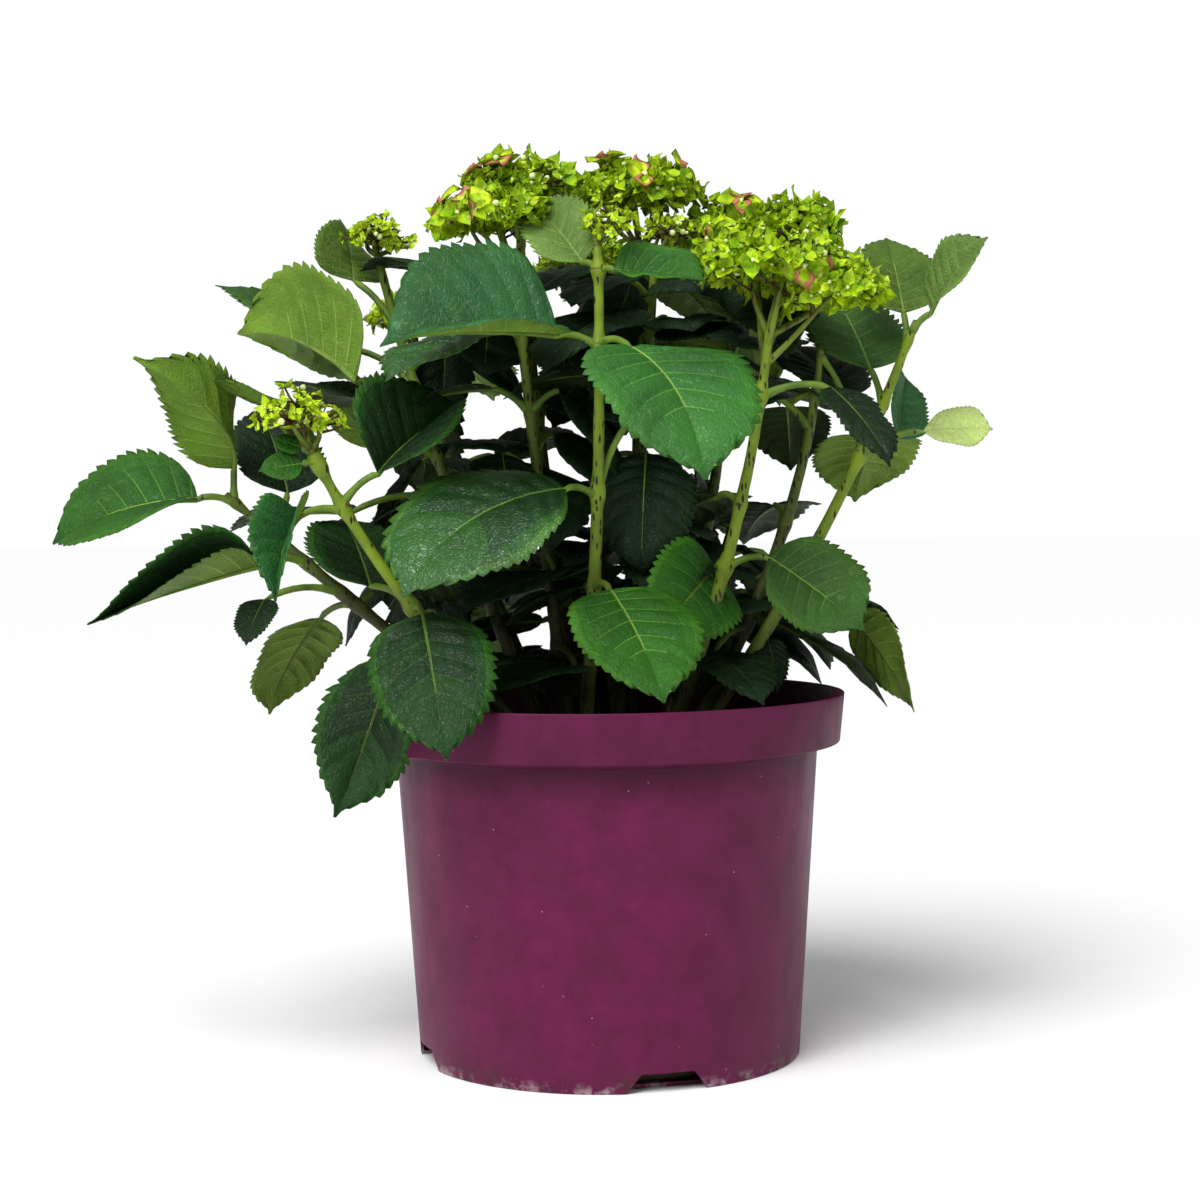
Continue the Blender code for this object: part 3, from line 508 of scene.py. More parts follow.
def placed(cane, one, turnedBy, liftedBy, size):
    heading = one["heading"] + turnedBy
    start = canePoint(cane, one["height"])
    out = direction(heading, one["rise"])
    blade = dict(one, start=start, out=out)
    gap = caneRadius(cane, one["height"]) + caneLook["blunt"]
    blade["base"] = start + out * (one["stalk"] * size + gap)
    blade["aim"] = heading + one["turn"]
    blade["pitch"] = one["pitch"] + liftedBy
    blade["length"] = one["length"] * size
    blade["width"] = one["width"] * size
    return blade


def spine(blade, share):
    # point on the midrib and the upward normal there
    droop = math.radians(blade["droop"]) or 1e-4
    start = math.radians(blade["pitch"]) + droop / 2
    lift = start - droop * share
    ahead = blade["length"] * (math.sin(start) - math.sin(lift)) / droop
    up = blade["length"] * (math.cos(lift) - math.cos(start)) / droop
    bent = blade["aim"] + blade["bend"] * share
    point = blade["base"] + direction(bent - blade["bend"] * share / 2, 0) * ahead + Vector((0, 0, up))
    normal = Vector((0, 0, math.cos(lift))) - direction(bent, 0) * math.sin(lift)
    return point, normal


def settledLeaves():
    # the try of each leaf that its solid took: the first whose tip lies on the mass
    wanted = [(name, one, True) for name in canes for one in canes[name]["leaves"]]
    wanted += [(name, one, False) for name in canes for one in ruleLeaves(name, canes[name])]
    trees = {}
    for name in canes:
        bm = bmesh.new()
        bm.from_mesh(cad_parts[name + "_foliage"].data)
        trees[name] = BVHTree.FromBMesh(bm)
        bm.free()
    settled = []
    for name, one, chosen in wanted:
        found = placed(canes[name], one, 0.0, 0.0, 1.0) if chosen else None
        for turnedBy, liftedBy, size in [] if chosen else tries(one):
            blade = placed(canes[name], one, turnedBy, liftedBy, size)
            tip = trees[name].find_nearest(spine(blade, 1.0)[0])[3]
            base = trees[name].find_nearest(blade["base"])[3]
            if tip < ruleLook["tipReach"] and base < ruleLook["baseReach"]:
                found = blade
                break
        if found and not chosen:
            found["pitch"] -= ruleLook["sag"]
        if found and (chosen or not coversOpening(found)):
            found.update(cane=name, chosen=chosen)
            settled.append(found)
    return settled


# A leaf blade: a sheet whose rows follow the side veins, toothed, quilted and folded.
fineBlade = dict(rows=48, columns=(0.0, 0.022, 0.17, 0.34, 0.52, 0.70, 0.86, 1.0),
                 veins={3: 6, 10: 6, 18: 6, 26: 5, 34: 4, 40: 3})
plainBlade = dict(rows=24, columns=(0.0, 0.03, 0.32, 0.62, 0.86, 1.0), veins={2: 3, 6: 3, 11: 3, 16: 2})
bladeLook = dict(sweep=2.1, steepness=0.85, flatter=0.45, arch=2.2, veinWidth=0.0070, veinTaper=0.8,
                 veinEnd=0.9, toothDepth=0.018, toothShift=0.017, innerBite=0.25, quilt=0.016,
                 groove=0.0040, curl=0.26, wave=0.022, sideShift=1.3, hook=0.05, hookStart=0.78,
                 thickness=0.00035, midribWidth=0.0075, midribShare=0.3, midribTaper=1.15, midribEnd=0.85,
                 ribGroove=0.005, edgeStart=0.72)
# the parts of a blade's upper side: how much rougher than the tint's gloss, and how far the
# net of fine veins shows
partLooks = {"body": (0.0, 0.45), "edge": (0.01, 0.40), "margin": (0.02, 0.25), "vein": (0.02, 0.0),
             "midrib": (0.06, 0.0)}
leafParts = list(partLooks)
bladeOutline = ((0.0, 0.0), (0.02, 0.26), (0.06, 0.56), (0.12, 0.80), (0.20, 0.94), (0.31, 1.0),
                (0.44, 1.0), (0.56, 0.95), (0.67, 0.85), (0.77, 0.68), (0.85, 0.46), (0.905, 0.26),
                (0.94, 0.12), (0.965, 0.05), (1.0, 0.0))
toothEnvelope = ((0.0, 0.0), (0.10, 0.0), (0.24, 1.0), (0.90, 1.0), (0.97, 0.5), (1.0, 0.0))
quiltAcross = ((0.0, 0.0), (0.08, 0.35), (0.35, 1.0), (0.80, 0.35), (1.0, 0.0))
tooth = (-0.75, 0.20, 1.15)


def outlineAt(share):
    for (x0, y0), (x1, y1) in zip(bladeOutline, bladeOutline[1:]):
        if share <= x1:
            return y0 + (y1 - y0) * (share - x0) / (x1 - x0)
    return 0.0


def bladePoint(blade, grain, row, column):
    look, rows, veins, columns = bladeLook, grain["rows"], grain["veins"], grain["columns"]
    side = 1 if column > 0 else -1
    share = columns[abs(column)]
    onMargin = abs(column) == len(columns) - 1
    margin = row / rows
    root = 1 - (1 - margin) ** (1 / look["sweep"])
    if row - 1 in veins and share < look["veinEnd"]:
        # the far edge of a side vein lies close to its near edge
        margin = (row - 1) / rows
        width = look["veinWidth"] * (1 - look["veinTaper"] * share)
        root = 1 - (1 - margin) ** (1 / look["sweep"]) + width
        margin += width
    steep = look["steepness"] - look["flatter"] * root
    at = root + (margin - root) * (steep * share + (1 - steep) * share ** look["arch"])
    if onMargin and 0 < row < rows and row % 3 == 2:
        at += look["toothShift"] * blade["teeth"][row // 3]
    at = min(1.0, at)
    point, normal = spine(blade, at)
    half = blade["width"] / 2 * outlineAt(at)
    reach = half * share
    if abs(column) == 1:
        reach = min(half * look["midribShare"],
                    look["midribWidth"] * blade["length"] * (look["midribTaper"] - at))
    if abs(column) >= len(columns) - 2 and 0 < row < rows:
        bite = tooth[row % 3] * along(toothEnvelope, margin) * look["toothDepth"] * blade["length"]
        reach += bite * (blade["teeth"][row // 3] if onMargin else look["innerBite"])
    left = direction(blade["aim"] + blade["bend"] * at + 90, 0)
    roll = math.radians(blade["roll"] + blade["twist"] * at)
    across = left * math.cos(roll) + normal * math.sin(roll)
    rise = normal * math.cos(roll) - left * math.sin(roll)
    fold = math.radians(blade["fold"])
    lift = reach * math.sin(fold) - half * look["curl"] * share ** 3 * blade["curl"]
    lift += look["wave"] * blade["length"] * share ** 2 * outlineAt(at) * math.sin(
        blade["phase"] + side * look["sideShift"] + at * blade["waves"])
    past = smooth((at - look["hookStart"]) / (1 - look["hookStart"]))
    lift -= look["hook"] * blade["length"] * past * blade["curl"]
    # quilting: bulges between the side veins, grooves along them
    before = max([vein for vein in veins if vein < row], default=0)
    after = min([vein for vein in veins if vein >= row], default=rows)
    between = math.sin(math.pi * max(0.0, (row - before - 1) / max(1, after - before - 1)))
    size = blade["length"] * along(quiltAcross, share) * smooth(outlineAt(at) * 2)
    lift += look["quilt"] * size * between
    if row in veins or row - 1 in veins:
        lift -= look["groove"] * size
    if column == 0:
        lift -= look["ribGroove"] * blade["length"] * (1 - at)
    return point + across * side * reach * math.cos(fold) + rise * lift


def addBlade(bm, blade, grain):
    rows, columns = grain["rows"], len(grain["columns"]) - 1
    verts = bmesh.ops.create_grid(bm, x_segments=rows, y_segments=2 * columns, size=0.5,
                                  calc_uvs=True)["verts"]
    cells = {}
    for vert in verts:
        cells[vert] = (round((vert.co.x + 0.5) * rows), round(vert.co.y * 2 * columns))
    for face in facesOf(verts):
        row = min(cells[vert][0] for vert in face.verts)
        column = min(abs(cells[vert][1]) for vert in face.verts)
        face.smooth = True
        if column == 0 and row < rows * bladeLook["midribEnd"]:
            face.material_index = leafParts.index("midrib")
        elif row in grain["veins"] and column < grain["veins"][row]:
            face.material_index = leafParts.index("vein")
        elif column >= columns - 1:
            face.material_index = leafParts.index("margin")
        elif column >= columns - 2 or row > rows * bladeLook["edgeStart"]:
            face.material_index = leafParts.index("edge")
    for vert, (row, column) in cells.items():
        vert.co = bladePoint(blade, grain, row, column)
    bmesh.ops.remove_doubles(bm, verts=verts, dist=1e-5)


# Leaf finishes for each tint: the parts of the upper side, then the underside and its veins.
leafTints = {
    "fresh": dict(body=(0.020, 0.108, 0.013), edge=(0.024, 0.125, 0.013), margin=(0.034, 0.155, 0.014),
                  vein=(0.110, 0.300, 0.040), midrib=(0.240, 0.430, 0.070), under=(0.140, 0.250, 0.034),
                  underVein=(0.320, 0.450, 0.110), gloss=0.40, shine=0.32),
    "grass": dict(body=(0.014, 0.076, 0.005), edge=(0.019, 0.094, 0.005), margin=(0.032, 0.125, 0.006),
                  vein=(0.100, 0.250, 0.024), midrib=(0.260, 0.420, 0.050), under=(0.120, 0.210, 0.020),
                  underVein=(0.280, 0.400, 0.080), gloss=0.44, shine=0.22),
    "glossy": dict(body=(0.010, 0.045, 0.009), edge=(0.018, 0.078, 0.010), margin=(0.040, 0.130, 0.011),
                   vein=(0.012, 0.046, 0.009), midrib=(0.140, 0.270, 0.045), under=(0.110, 0.200, 0.035),
                   underVein=(0.260, 0.370, 0.100), gloss=0.30, shine=0.52),
    "rich": dict(body=(0.005, 0.023, 0.004), edge=(0.008, 0.038, 0.005), margin=(0.018, 0.078, 0.006),
                 vein=(0.022, 0.070, 0.010), midrib=(0.110, 0.210, 0.030), under=(0.090, 0.160, 0.020),
                 underVein=(0.220, 0.320, 0.070), gloss=0.40, shine=0.22),
    "bluish": dict(body=(0.015, 0.085, 0.019), edge=(0.017, 0.095, 0.019), margin=(0.022, 0.110, 0.018),
                   vein=(0.008, 0.050, 0.011), midrib=(0.160, 0.310, 0.050), under=(0.150, 0.270, 0.030),
                   underVein=(0.280, 0.420, 0.085), gloss=0.40, shine=0.32),
    "moss": dict(body=(0.024, 0.075, 0.010), edge=(0.028, 0.086, 0.010), margin=(0.040, 0.110, 0.012),
                 vein=(0.100, 0.210, 0.034), midrib=(0.240, 0.380, 0.060), under=(0.115, 0.215, 0.018),
                 underVein=(0.260, 0.380, 0.080), gloss=0.46, shine=0.22),
    "soft": dict(body=(0.058, 0.112, 0.012), edge=(0.062, 0.122, 0.012), margin=(0.080, 0.150, 0.014),
                 vein=(0.150, 0.240, 0.050), midrib=(0.270, 0.380, 0.080), under=(0.130, 0.225, 0.028),
                 underVein=(0.280, 0.390, 0.100), gloss=0.50, shine=0.20),
    "young": dict(body=(0.105, 0.190, 0.036), edge=(0.110, 0.200, 0.036), margin=(0.130, 0.230, 0.040),
                  vein=(0.250, 0.360, 0.100), midrib=(0.330, 0.440, 0.130), under=(0.170, 0.280, 0.055),
                  underVein=(0.350, 0.460, 0.140), gloss=0.48, shine=0.22),
    "pale": dict(body=(0.300, 0.390, 0.120), edge=(0.310, 0.400, 0.120), margin=(0.340, 0.430, 0.140),
                 vein=(0.430, 0.520, 0.220), midrib=(0.480, 0.560, 0.240), under=(0.320, 0.410, 0.140),
                 underVein=(0.450, 0.540, 0.230), gloss=0.50, shine=0.22),
    # the darkest tint: near-black greens, painted shade for leaves inside the crown
    "paintedShade": dict(body=(0.002, 0.012, 0.002), edge=(0.003, 0.016, 0.003), margin=(0.005, 0.026, 0.003),
                 vein=(0.006, 0.024, 0.005), midrib=(0.034, 0.075, 0.012), under=(0.022, 0.042, 0.008),
                 underVein=(0.050, 0.085, 0.018), gloss=0.44, shine=0.20),
}


# The net of finest veins: scale and width of its coarse and fine lines, and how it wavers.
netLook = dict(coarse=(250.0, 0.09), fine=(620.0, 0.16), fineShare=0.55, random=0.85, waver=120.0,
               waverReach=0.006, light=1.9, lift=0.006)
leafFinish = dict(cloud=(30.0, 5.0), dark=0.66, light=1.32, grain=(700.0, 2.0), smoother=0.04, rougher=0.12,
                  grainDepth=0.25, bump=0.60, relief=0.0005, underGloss=0.60, underVeinGloss=0.58,
                  underShine=0.24, underNet=0.30)


def netLines(tree, place, scale, width):
    sockets = {"Vector": place, "Scale": scale, "Randomness": netLook["random"]}
    edge = addNode(tree, "TexVoronoi", sockets, feature="DISTANCE_TO_EDGE").outputs["Distance"]
    return spread(tree, edge, 0.0, width, 1.0, 0.0)


def vectors(tree, operation, sockets):
    return addNode(tree, "VectorMath", sockets, operation=operation).outputs[0]


def wavering(tree, place):
    # a place moved a little to and fro, so that the net doesn't look ruled
    sockets = {"Vector": place, "Scale": netLook["waver"], "Detail": 2.0}
    waver = addNode(tree, "TexNoise", sockets).outputs["Color"]
    centred = vectors(tree, "SUBTRACT", {0: waver, 1: (0.5, 0.5, 0.5)})
    step = vectors(tree, "SCALE", {0: centred, "Scale": netLook["waverReach"]})
    return vectors(tree, "ADD", {0: place, 1: step})


def leafMaterial(name, colour, gloss, shine, netShare):
    look = leafFinish
    material, tree, shader, place = newMaterial(name)
    grain = speckle(tree, place, *look["grain"])
    base = mixColours(tree, patches(tree, place, look["cloud"], 0.34, 0.68), scaled(colour, look["dark"]),
                      scaled(colour, look["light"]))
    bent = wavering(tree, place)
    fine = times(tree, netLines(tree, bent, *netLook["fine"]), netLook["fineShare"])
    net = combine(tree, "MAXIMUM", netLines(tree, bent, *netLook["coarse"]), fine)
    paler = tuple(part * netLook["light"] + netLook["lift"] for part in colour)
    base = mixColours(tree, times(tree, net, netShare), base, paler)
    rough = spread(tree, grain, 0.3, 0.7, gloss - look["smoother"], gloss + look["rougher"])
    height = combine(tree, "ADD", times(tree, net, -1.0), times(tree, grain, look["grainDepth"]))
    finishShader(tree, shader, base, rough, shine, height, look["bump"], look["relief"])
    return material


# The outermost leaves behind stand in full light and take these tints in turn; every other leaf without a
# tint of its own takes the darkest tint, a painted shade.
backLook = dict(start=0.085, at=0.6, tints=("rich", "grass", "bluish"))


def leafTint(blade):
    if blade["tint"]:
        return blade["tint"]
    if spine(blade, backLook["at"])[0].y > backLook["start"]:
        return backLook["tints"][round(blade["height"] * 1000) % len(backLook["tints"])]
    return "paintedShade"


# Inner leaves that fill the crown behind the chosen ones, inside the reach of the solids.
innerLook = dict(step=0.0145, below=0.025, topGap=0.012, seed="inner leaves", length=0.084, smallest=0.66,
                 largest=1.05, shorter=0.025, width=0.80, stalk=0.022, rise=22.0, riseSwing=20.0,
                 pitch=-50.0, light=-90.0, lean=0.55, behind=0.06, swing=30.0, droop=28.0,
                 rollSwing=22.0, tries=14, front=-0.036, wide=(0.172, 0.165), middle=0.02, low=0.165,
                 high=0.398)
# openings seen from the front, as low x, low z, high x, high z on the middle plane
openingMargin = 0.003
openings = ((0.065, 0.246, 0.092, 0.292), (0.089, 0.251, 0.106, 0.277), (-0.118, 0.331, -0.099, 0.361),
            (-0.177, 0.268, -0.169, 0.313), (-0.132, 0.283, -0.114, 0.299), (-0.148, 0.241, -0.127, 0.256),
            (-0.063, 0.300, -0.041, 0.312), (-0.153, 0.214, -0.141, 0.223), (-0.025, 0.279, -0.015, 0.292),
            (0.070, 0.183, 0.076, 0.200), (-0.029, 0.203, -0.019, 0.214), (0.000, 0.251, 0.011, 0.268),
            (0.130, 0.324, 0.141, 0.339), (0.092, 0.300, 0.098, 0.313), (0.106, 0.228, 0.300, 0.312),
            (-0.300, 0.150, -0.137, 0.262))


def seenAt(point):
    # where a point shows on the middle plane, seen from the camera
    eye = Vector(cameraLook["place"])
    seen = eye + (point - eye) * (-eye.y / (point.y - eye.y))
    return seen.x, seen.z


def samples(blade):
    # a few points spread over a blade
    for share in (0.15, 0.4, 0.6, 0.8, 1.0):
        point = spine(blade, share)[0]
        half = blade["width"] / 2 * outlineAt(share)
        for side in (-1, 0, 1):
            yield point + direction(blade["aim"] + 90, 0) * half * side


def coversOpening(blade):
    for place in samples(blade):
        x, z = seenAt(place)
        for left, bottom, right, top in openings:
            if (left - openingMargin < x < right + openingMargin
                    and bottom - openingMargin < z < top + openingMargin):
                return True
    return False


def staysInside(blade):
    look = innerLook
    for place in samples(blade):
        if place.y < look["front"] or not look["low"] < place.z < look["high"]:
            return False
        if (place.x / look["wide"][0]) ** 2 + ((place.y - look["middle"]) / look["wide"][1]) ** 2 > 1:
            return False
    return not coversOpening(blade)


# Seeded differences between blades, calmer where the place is chosen.
freeLook = dict(calm=0.45, curl=(0.4, 1.3), waves=(7, 13), twist=(-14, 14), teeth=(0.55, 1.5), count=18)


def shapeBlade(blade):
    look = freeLook
    draw = random.Random(blade["cane"] + str(blade["height"]) + str(blade["heading"]))
    free = look["calm"] if blade["chosen"] else 1.0
    blade["curl"] = draw.uniform(*look["curl"]) * free
    blade["phase"] = draw.uniform(0, math.tau)
    blade["waves"] = draw.uniform(*look["waves"])
    if blade["twist"] is None:
        blade["twist"] = draw.uniform(*look["twist"]) * free
    blade["teeth"] = [draw.uniform(*look["teeth"]) for number in range(look["count"])]


def bladeMesh():
    bm = bmesh.new()
    bm.loops.layers.uv.new("blade")
    return bm


def innerTry(name, height, facing, number, draw):
    # each try swings further from where the leaf should face and is a little shorter
    look, cane = innerLook, canes[name]
    swing = look["swing"] * (0.5 + 0.15 * number)
    heading = facing + sway(draw, swing)
    toLight = math.remainder(look["light"] - heading, 360) * look["lean"]
    if cane["top"][1] >= look["behind"]:
        toLight = 0.0
    rise = look["rise"] + sway(draw, look["riseSwing"])
    turn, pitch = toLight + sway(draw, swing), look["pitch"] + sway(draw, swing)
    length = look["length"] * draw.uniform(look["smallest"], look["largest"])
    length *= 1 - look["shorter"] * number
    one = leaf(height, heading, rise, look["stalk"], turn, pitch, length, look["width"], look["droop"],
               sway(draw, look["rollSwing"]))
    blade = placed(cane, one, 0.0, 0.0, 1.0)
    blade.update(cane=name, chosen=False)
    shapeBlade(blade)
    return blade


def innerLeaves(taken):
    draw = random.Random(innerLook["seed"])
    grown = []
    trees = [BVHTree.FromBMesh(taken)]
    for name, cane in canes.items():
        height = cane["bare"] - innerLook["below"]
        turn = draw.uniform(0, 180)
        while height < cane["top"][2] - innerLook["topGap"]:
            for side in (0, 180):
                for number in range(innerLook["tries"]):
                    blade = innerTry(name, height, turn + side, number, draw)
                    if not staysInside(blade):
                        continue
                    trial = bladeMesh()
                    addBlade(trial, blade, plainBlade)
                    tree = BVHTree.FromBMesh(trial)
                    trial.free()
                    if any(tree.overlap(other) for other in trees):
                        continue
                    trees.append(tree)
                    grown.append(blade)
                    break
            height += innerLook["step"]
            turn += 90 + draw.uniform(-15, 15)
    return grown


def finishLeaves(name, bm, tint):
    leaves = addPiece(name, bm)
    look, finish = leafTints[tint], leafFinish
    for part, (rougher, netShare) in partLooks.items():
        gloss = look["gloss"] + rougher
        upper = leafMaterial(name + part.title(), look[part], gloss, look["shine"], netShare)
        leaves.data.materials.append(upper)
    under = leafMaterial(name + "Under", look["under"], finish["underGloss"], finish["underShine"],
                         finish["underNet"])
    underVein = leafMaterial(name + "UnderVein", look["underVein"], finish["underVeinGloss"],
                             finish["underShine"], 0.0)
    for material in (under, under, under, underVein, underVein):
        leaves.data.materials.append(material)
    # each part's underside takes the material that stands as many places on
    shell = leaves.modifiers.new("thickness", "SOLIDIFY")
    shell.thickness = bladeLook["thickness"]
    shell.offset = -1.0
    shell.material_offset = len(partLooks)
    ship(leaves, massNodes)
    print("leaves", name, len(leaves.data.polygons))


def makeLeaves(settled):
    meshes = {tint: bladeMesh() for tint in leafTints}
    taken = bladeMesh()
    for blade in settled:
        shapeBlade(blade)
        addBlade(meshes[leafTint(blade)], blade, fineBlade)
        addBlade(taken, blade, plainBlade)
    inner = innerLeaves(taken)
    taken.free()
    innerMesh = bladeMesh()
    for blade in inner:
        addBlade(innerMesh, blade, plainBlade)
    for tint, bm in meshes.items():
        finishLeaves("leaves_" + tint, bm, tint)
    # the inner leaves all take the darkest tint, painted shade
    finishLeaves("leaves_inner", innerMesh, "paintedShade")
    print("inner leaves", len(inner))
    return inner


# Leaf stalks, each carried on under the blade as its raised midrib.
stalkLook = dict(footRadius=0.0024, radius=0.0016, neckRadius=0.0013, ribRadius=0.0010, tipRadius=0.0003,
                 bow=0.10, sides=8, flecks=0.04, footFade=2.5, ribStart=0.012, ribLength=0.80, sunk=0.55,
                 fullLength=0.08,
                 colours=((0.150, 0.250, 0.024), (0.075, 0.145, 0.018), (0.040, 0.030, 0.015)))


def stalkPath(blade):
    look = stalkLook
    start, base = blade["start"], blade["base"]
    reach = (base - start).length
    path = [(start, look["footRadius"])]
    slimmer = look["radius"] - look["footRadius"]
    for step in range(1, 8):
        share = step / 8
        lift = math.sin(math.pi * share) * look["bow"] * reach
        radius = look["footRadius"] + slimmer * smooth(share * look["footFade"])
        path.append((start.lerp(base, share) + zUp * lift, radius))
    rib = ((0, look["neckRadius"]), (0.15, look["ribRadius"]), (0.82, look["tipRadius"]))
    for step in range(11):
        share = look["ribStart"] + look["ribLength"] * step / 10
        point, normal = spine(blade, share)
        radius = along(rib, share)
        radius *= min(1.0, blade["length"] / look["fullLength"])
        under = look["sunk"] * radius + bladeLook["ribGroove"] * blade["length"] * (1 - share)
        path.append((point - normal * under, radius))
    return path


# Stem finish: brown at the foot and, where a stem has a top colour, greener to the tip.
stemFinish = dict(cloud=(90.0,), greening=(0.24, 0.37), browning=(0.180, 0.240), footShare=0.85,
                  foot=(0.028, 0.022, 0.009), fleckStretch=(1.0, 1.0, 0.30), fleckScale=560.0,
                  fleckEdge=(0.30, 0.42), grainStretch=(1.0, 1.0, 0.15), grain=(900.0, 3.0),
                  gloss=(0.42, 0.60), shine=0.25, bump=0.35, relief=0.0004)


def stemMaterial(name, colour, tint, fleck, flecks, top=None):
    look = stemFinish
    material, tree, shader, place = newMaterial(name)
    base = mixColours(tree, patches(tree, place, look["cloud"], 0.35, 0.65), colour, tint)
    height = heightOf(tree, place)
    if top:
        base = mixColours(tree, spread(tree, height, *look["greening"]), base, top)
    browned = spread(tree, height, *look["browning"], look["footShare"], 0.0)
    base = mixColours(tree, browned, base, look["foot"])
    lengthwise = stretched(tree, place, look["fleckStretch"])
    marks = spots(tree, lengthwise, look["fleckScale"], *look["fleckEdge"], flecks)
    base = mixColours(tree, marks, base, fleck)
    grain = speckle(tree, stretched(tree, place, look["grainStretch"]), *look["grain"])
    rough = spread(tree, grain, 0.3, 0.7, *look["gloss"])
    finishShader(tree, shader, base, rough, look["shine"], grain, look["bump"], look["relief"])
    return material


def makeStalks(settled):
    bm = tubes("leafStalks", [stalkPath(blade) for blade in settled], stalkLook["sides"])
    stalks = addPiece("leafStalks", bm)
    stalks.data.materials.append(stemMaterial("stalkGreen", *stalkLook["colours"], stalkLook["flecks"]))
    ship(stalks, massNodes)
    print("leaf stalks", len(stalks.data.polygons))


# Cane stems from the compost to the tip: swollen at the leaf nodes, flared at the foot.
stemColours = {
    "stemFresh": dict(colour=(0.185, 0.275, 0.014), tint=(0.115, 0.185, 0.012),
                      fleck=(0.022, 0.012, 0.008), flecks=0.34),
    "stemRipe": dict(colour=(0.070, 0.100, 0.016), tint=(0.045, 0.050, 0.012),
                     fleck=(0.014, 0.008, 0.006), flecks=0.40, top=(0.130, 0.200, 0.018)),
    "stemNode": dict(colour=(0.140, 0.160, 0.020), tint=(0.060, 0.020, 0.012),
                     fleck=(0.030, 0.010, 0.008), flecks=0.30),
}
freshCanes = ("front", "front_right", "right", "front_left")


def nearest(nodes, height):
    return min([abs(height - node) for node in nodes], default=1.0)


def stemPath(cane, nodes, bands, low, high):
    # rings every few millimetres, and a close pair at each leaf node
    look = caneLook
    count = round((high - low) / look["ringSpacing"])
    levels = [low + (high - low) * step / count for step in range(count + 1)]
    levels = [level for level in levels if nearest(bands, level) > look["clear"]]
    path = []
    for height in sorted(levels + [node + by * look["band"] for node in bands for by in (-1, 1)]):
        radius = caneRadius(cane, height)
        radius *= 1 + look["flare"] * (1 - smooth((height - low) / look["flareHeight"]))
        if not cane["head"]:
            radius *= 1 - look["endTaper"] * smooth(1 - (high - height) / look["endReach"])
        for node in nodes:
            radius += look["nodeSwell"] * math.exp(-((height - node) / look["nodeReach"]) ** 2)
        path.append((canePoint(cane, height), radius))
    return path


def makeStems(settled):
    look = caneLook
    slots = list(stemColours)
    whole = bmesh.new()
    for name, cane in canes.items():
        low, high = soilLevel + look["blunt"], cane["top"][2] + look["over"]
        nodes = sorted({blade["height"] for blade in settled if blade["cane"] == name})
        bands = [node for node in nodes if low < node < high]
        bm = tubes(name + "Stem", [stemPath(cane, nodes, bands, low, high)], look["sides"])
        for vert in bm.verts:
            out = vert.co - canePoint(cane, vert.co.z)
            ridge = noise.noise(Vector((out.x * look["ridges"], out.y * look["ridges"],
                                        vert.co.z * look["ridgeLength"])))
            vert.co += out.normalized() * ridge * look["relief"] * 2
        for face in bm.faces:
            height = face.calc_center_median().z
            onNode = nearest(bands[::2], height) < look["band"] * 0.5
            finish = "stemNode" if onNode else "stemFresh" if name in freshCanes else "stemRipe"
            face.material_index = slots.index(finish)
        mesh = meshFrom(name + "Stem", bm)
        whole.from_mesh(mesh)
        bpy.data.meshes.remove(mesh)
    stems = addPiece("caneStems", whole)
    for name, part in stemColours.items():
        stems.data.materials.append(stemMaterial(name, **part))
    ship(stems, [name + "_cane" for name in canes] + massNodes)
    print("cane stems", len(stems.data.polygons))


# Flower heads: rays fork up to a dome of four-sepalled florets with pale buds between.
headLook = dict(floretSize=0.0060, smallShare=0.60, bigSepal=0.0105, thickness=0.00022, variants=9,
                eye=0.17, eyeLift=0.12, budSize=0.26, budShare=0.16, spacing=0.0062, scatter=0.0030,
                lobe=0.27, lobeHeight=0.30, lobeLift=0.002, domeAngle=100.0, goldenAngle=137.5,
                layers=((1.0, 1.0), (0.66, 0.55)), tilt=0.8, upward=0.35,
                rayRadius=0.0018, broadRay=1.05, slightRay=0.85, rayTip=0.0009, raySpread=0.24,
                rayHeading=20.0, rayLevel=(-0.26, -0.02), middleLevel=0.14, twigRadius=0.00045,
                forkRise=0.004, forkStart=0.0015, forkDrop=0.020, bow=0.3, broadBow=0.06, broad=0.08,
                slight=0.036, sepalReach=0.46, sepalRise=0.60, flecks=0.25,
                rayColours=((0.150, 0.230, 0.020), (0.090, 0.090, 0.016), (0.050, 0.014, 0.010)),
                twigColours=((0.075, 0.060, 0.015), (0.060, 0.020, 0.012), (0.040, 0.010, 0.008)))
headGroups = {
    "front": ("front", "front_right", "front_left"),
    "middle": ("upper_left", "mid_left", "centre", "back_left_centre", "back_right_centre"),
    "back": ("back_right", "back_left_low", "back_centre"),
}
sepalShape = ((0.0, 0.25), (0.34, 1.0), (0.67, 0.72), (1.0, 0.0))
# the florets' materials, in the order of their slots
flowerColours = {
    "sepalLime": (0.310, 0.470, 0.004),
    "sepalBright": (0.470, 0.640, 0.014),
    "sepalGreen": (0.190, 0.350, 0.004),
    "sepalBlush": (0.460, 0.170, 0.090),
    "budPale": (0.640, 0.780, 0.300),
}
blushSlot, budSlot = 3, 4


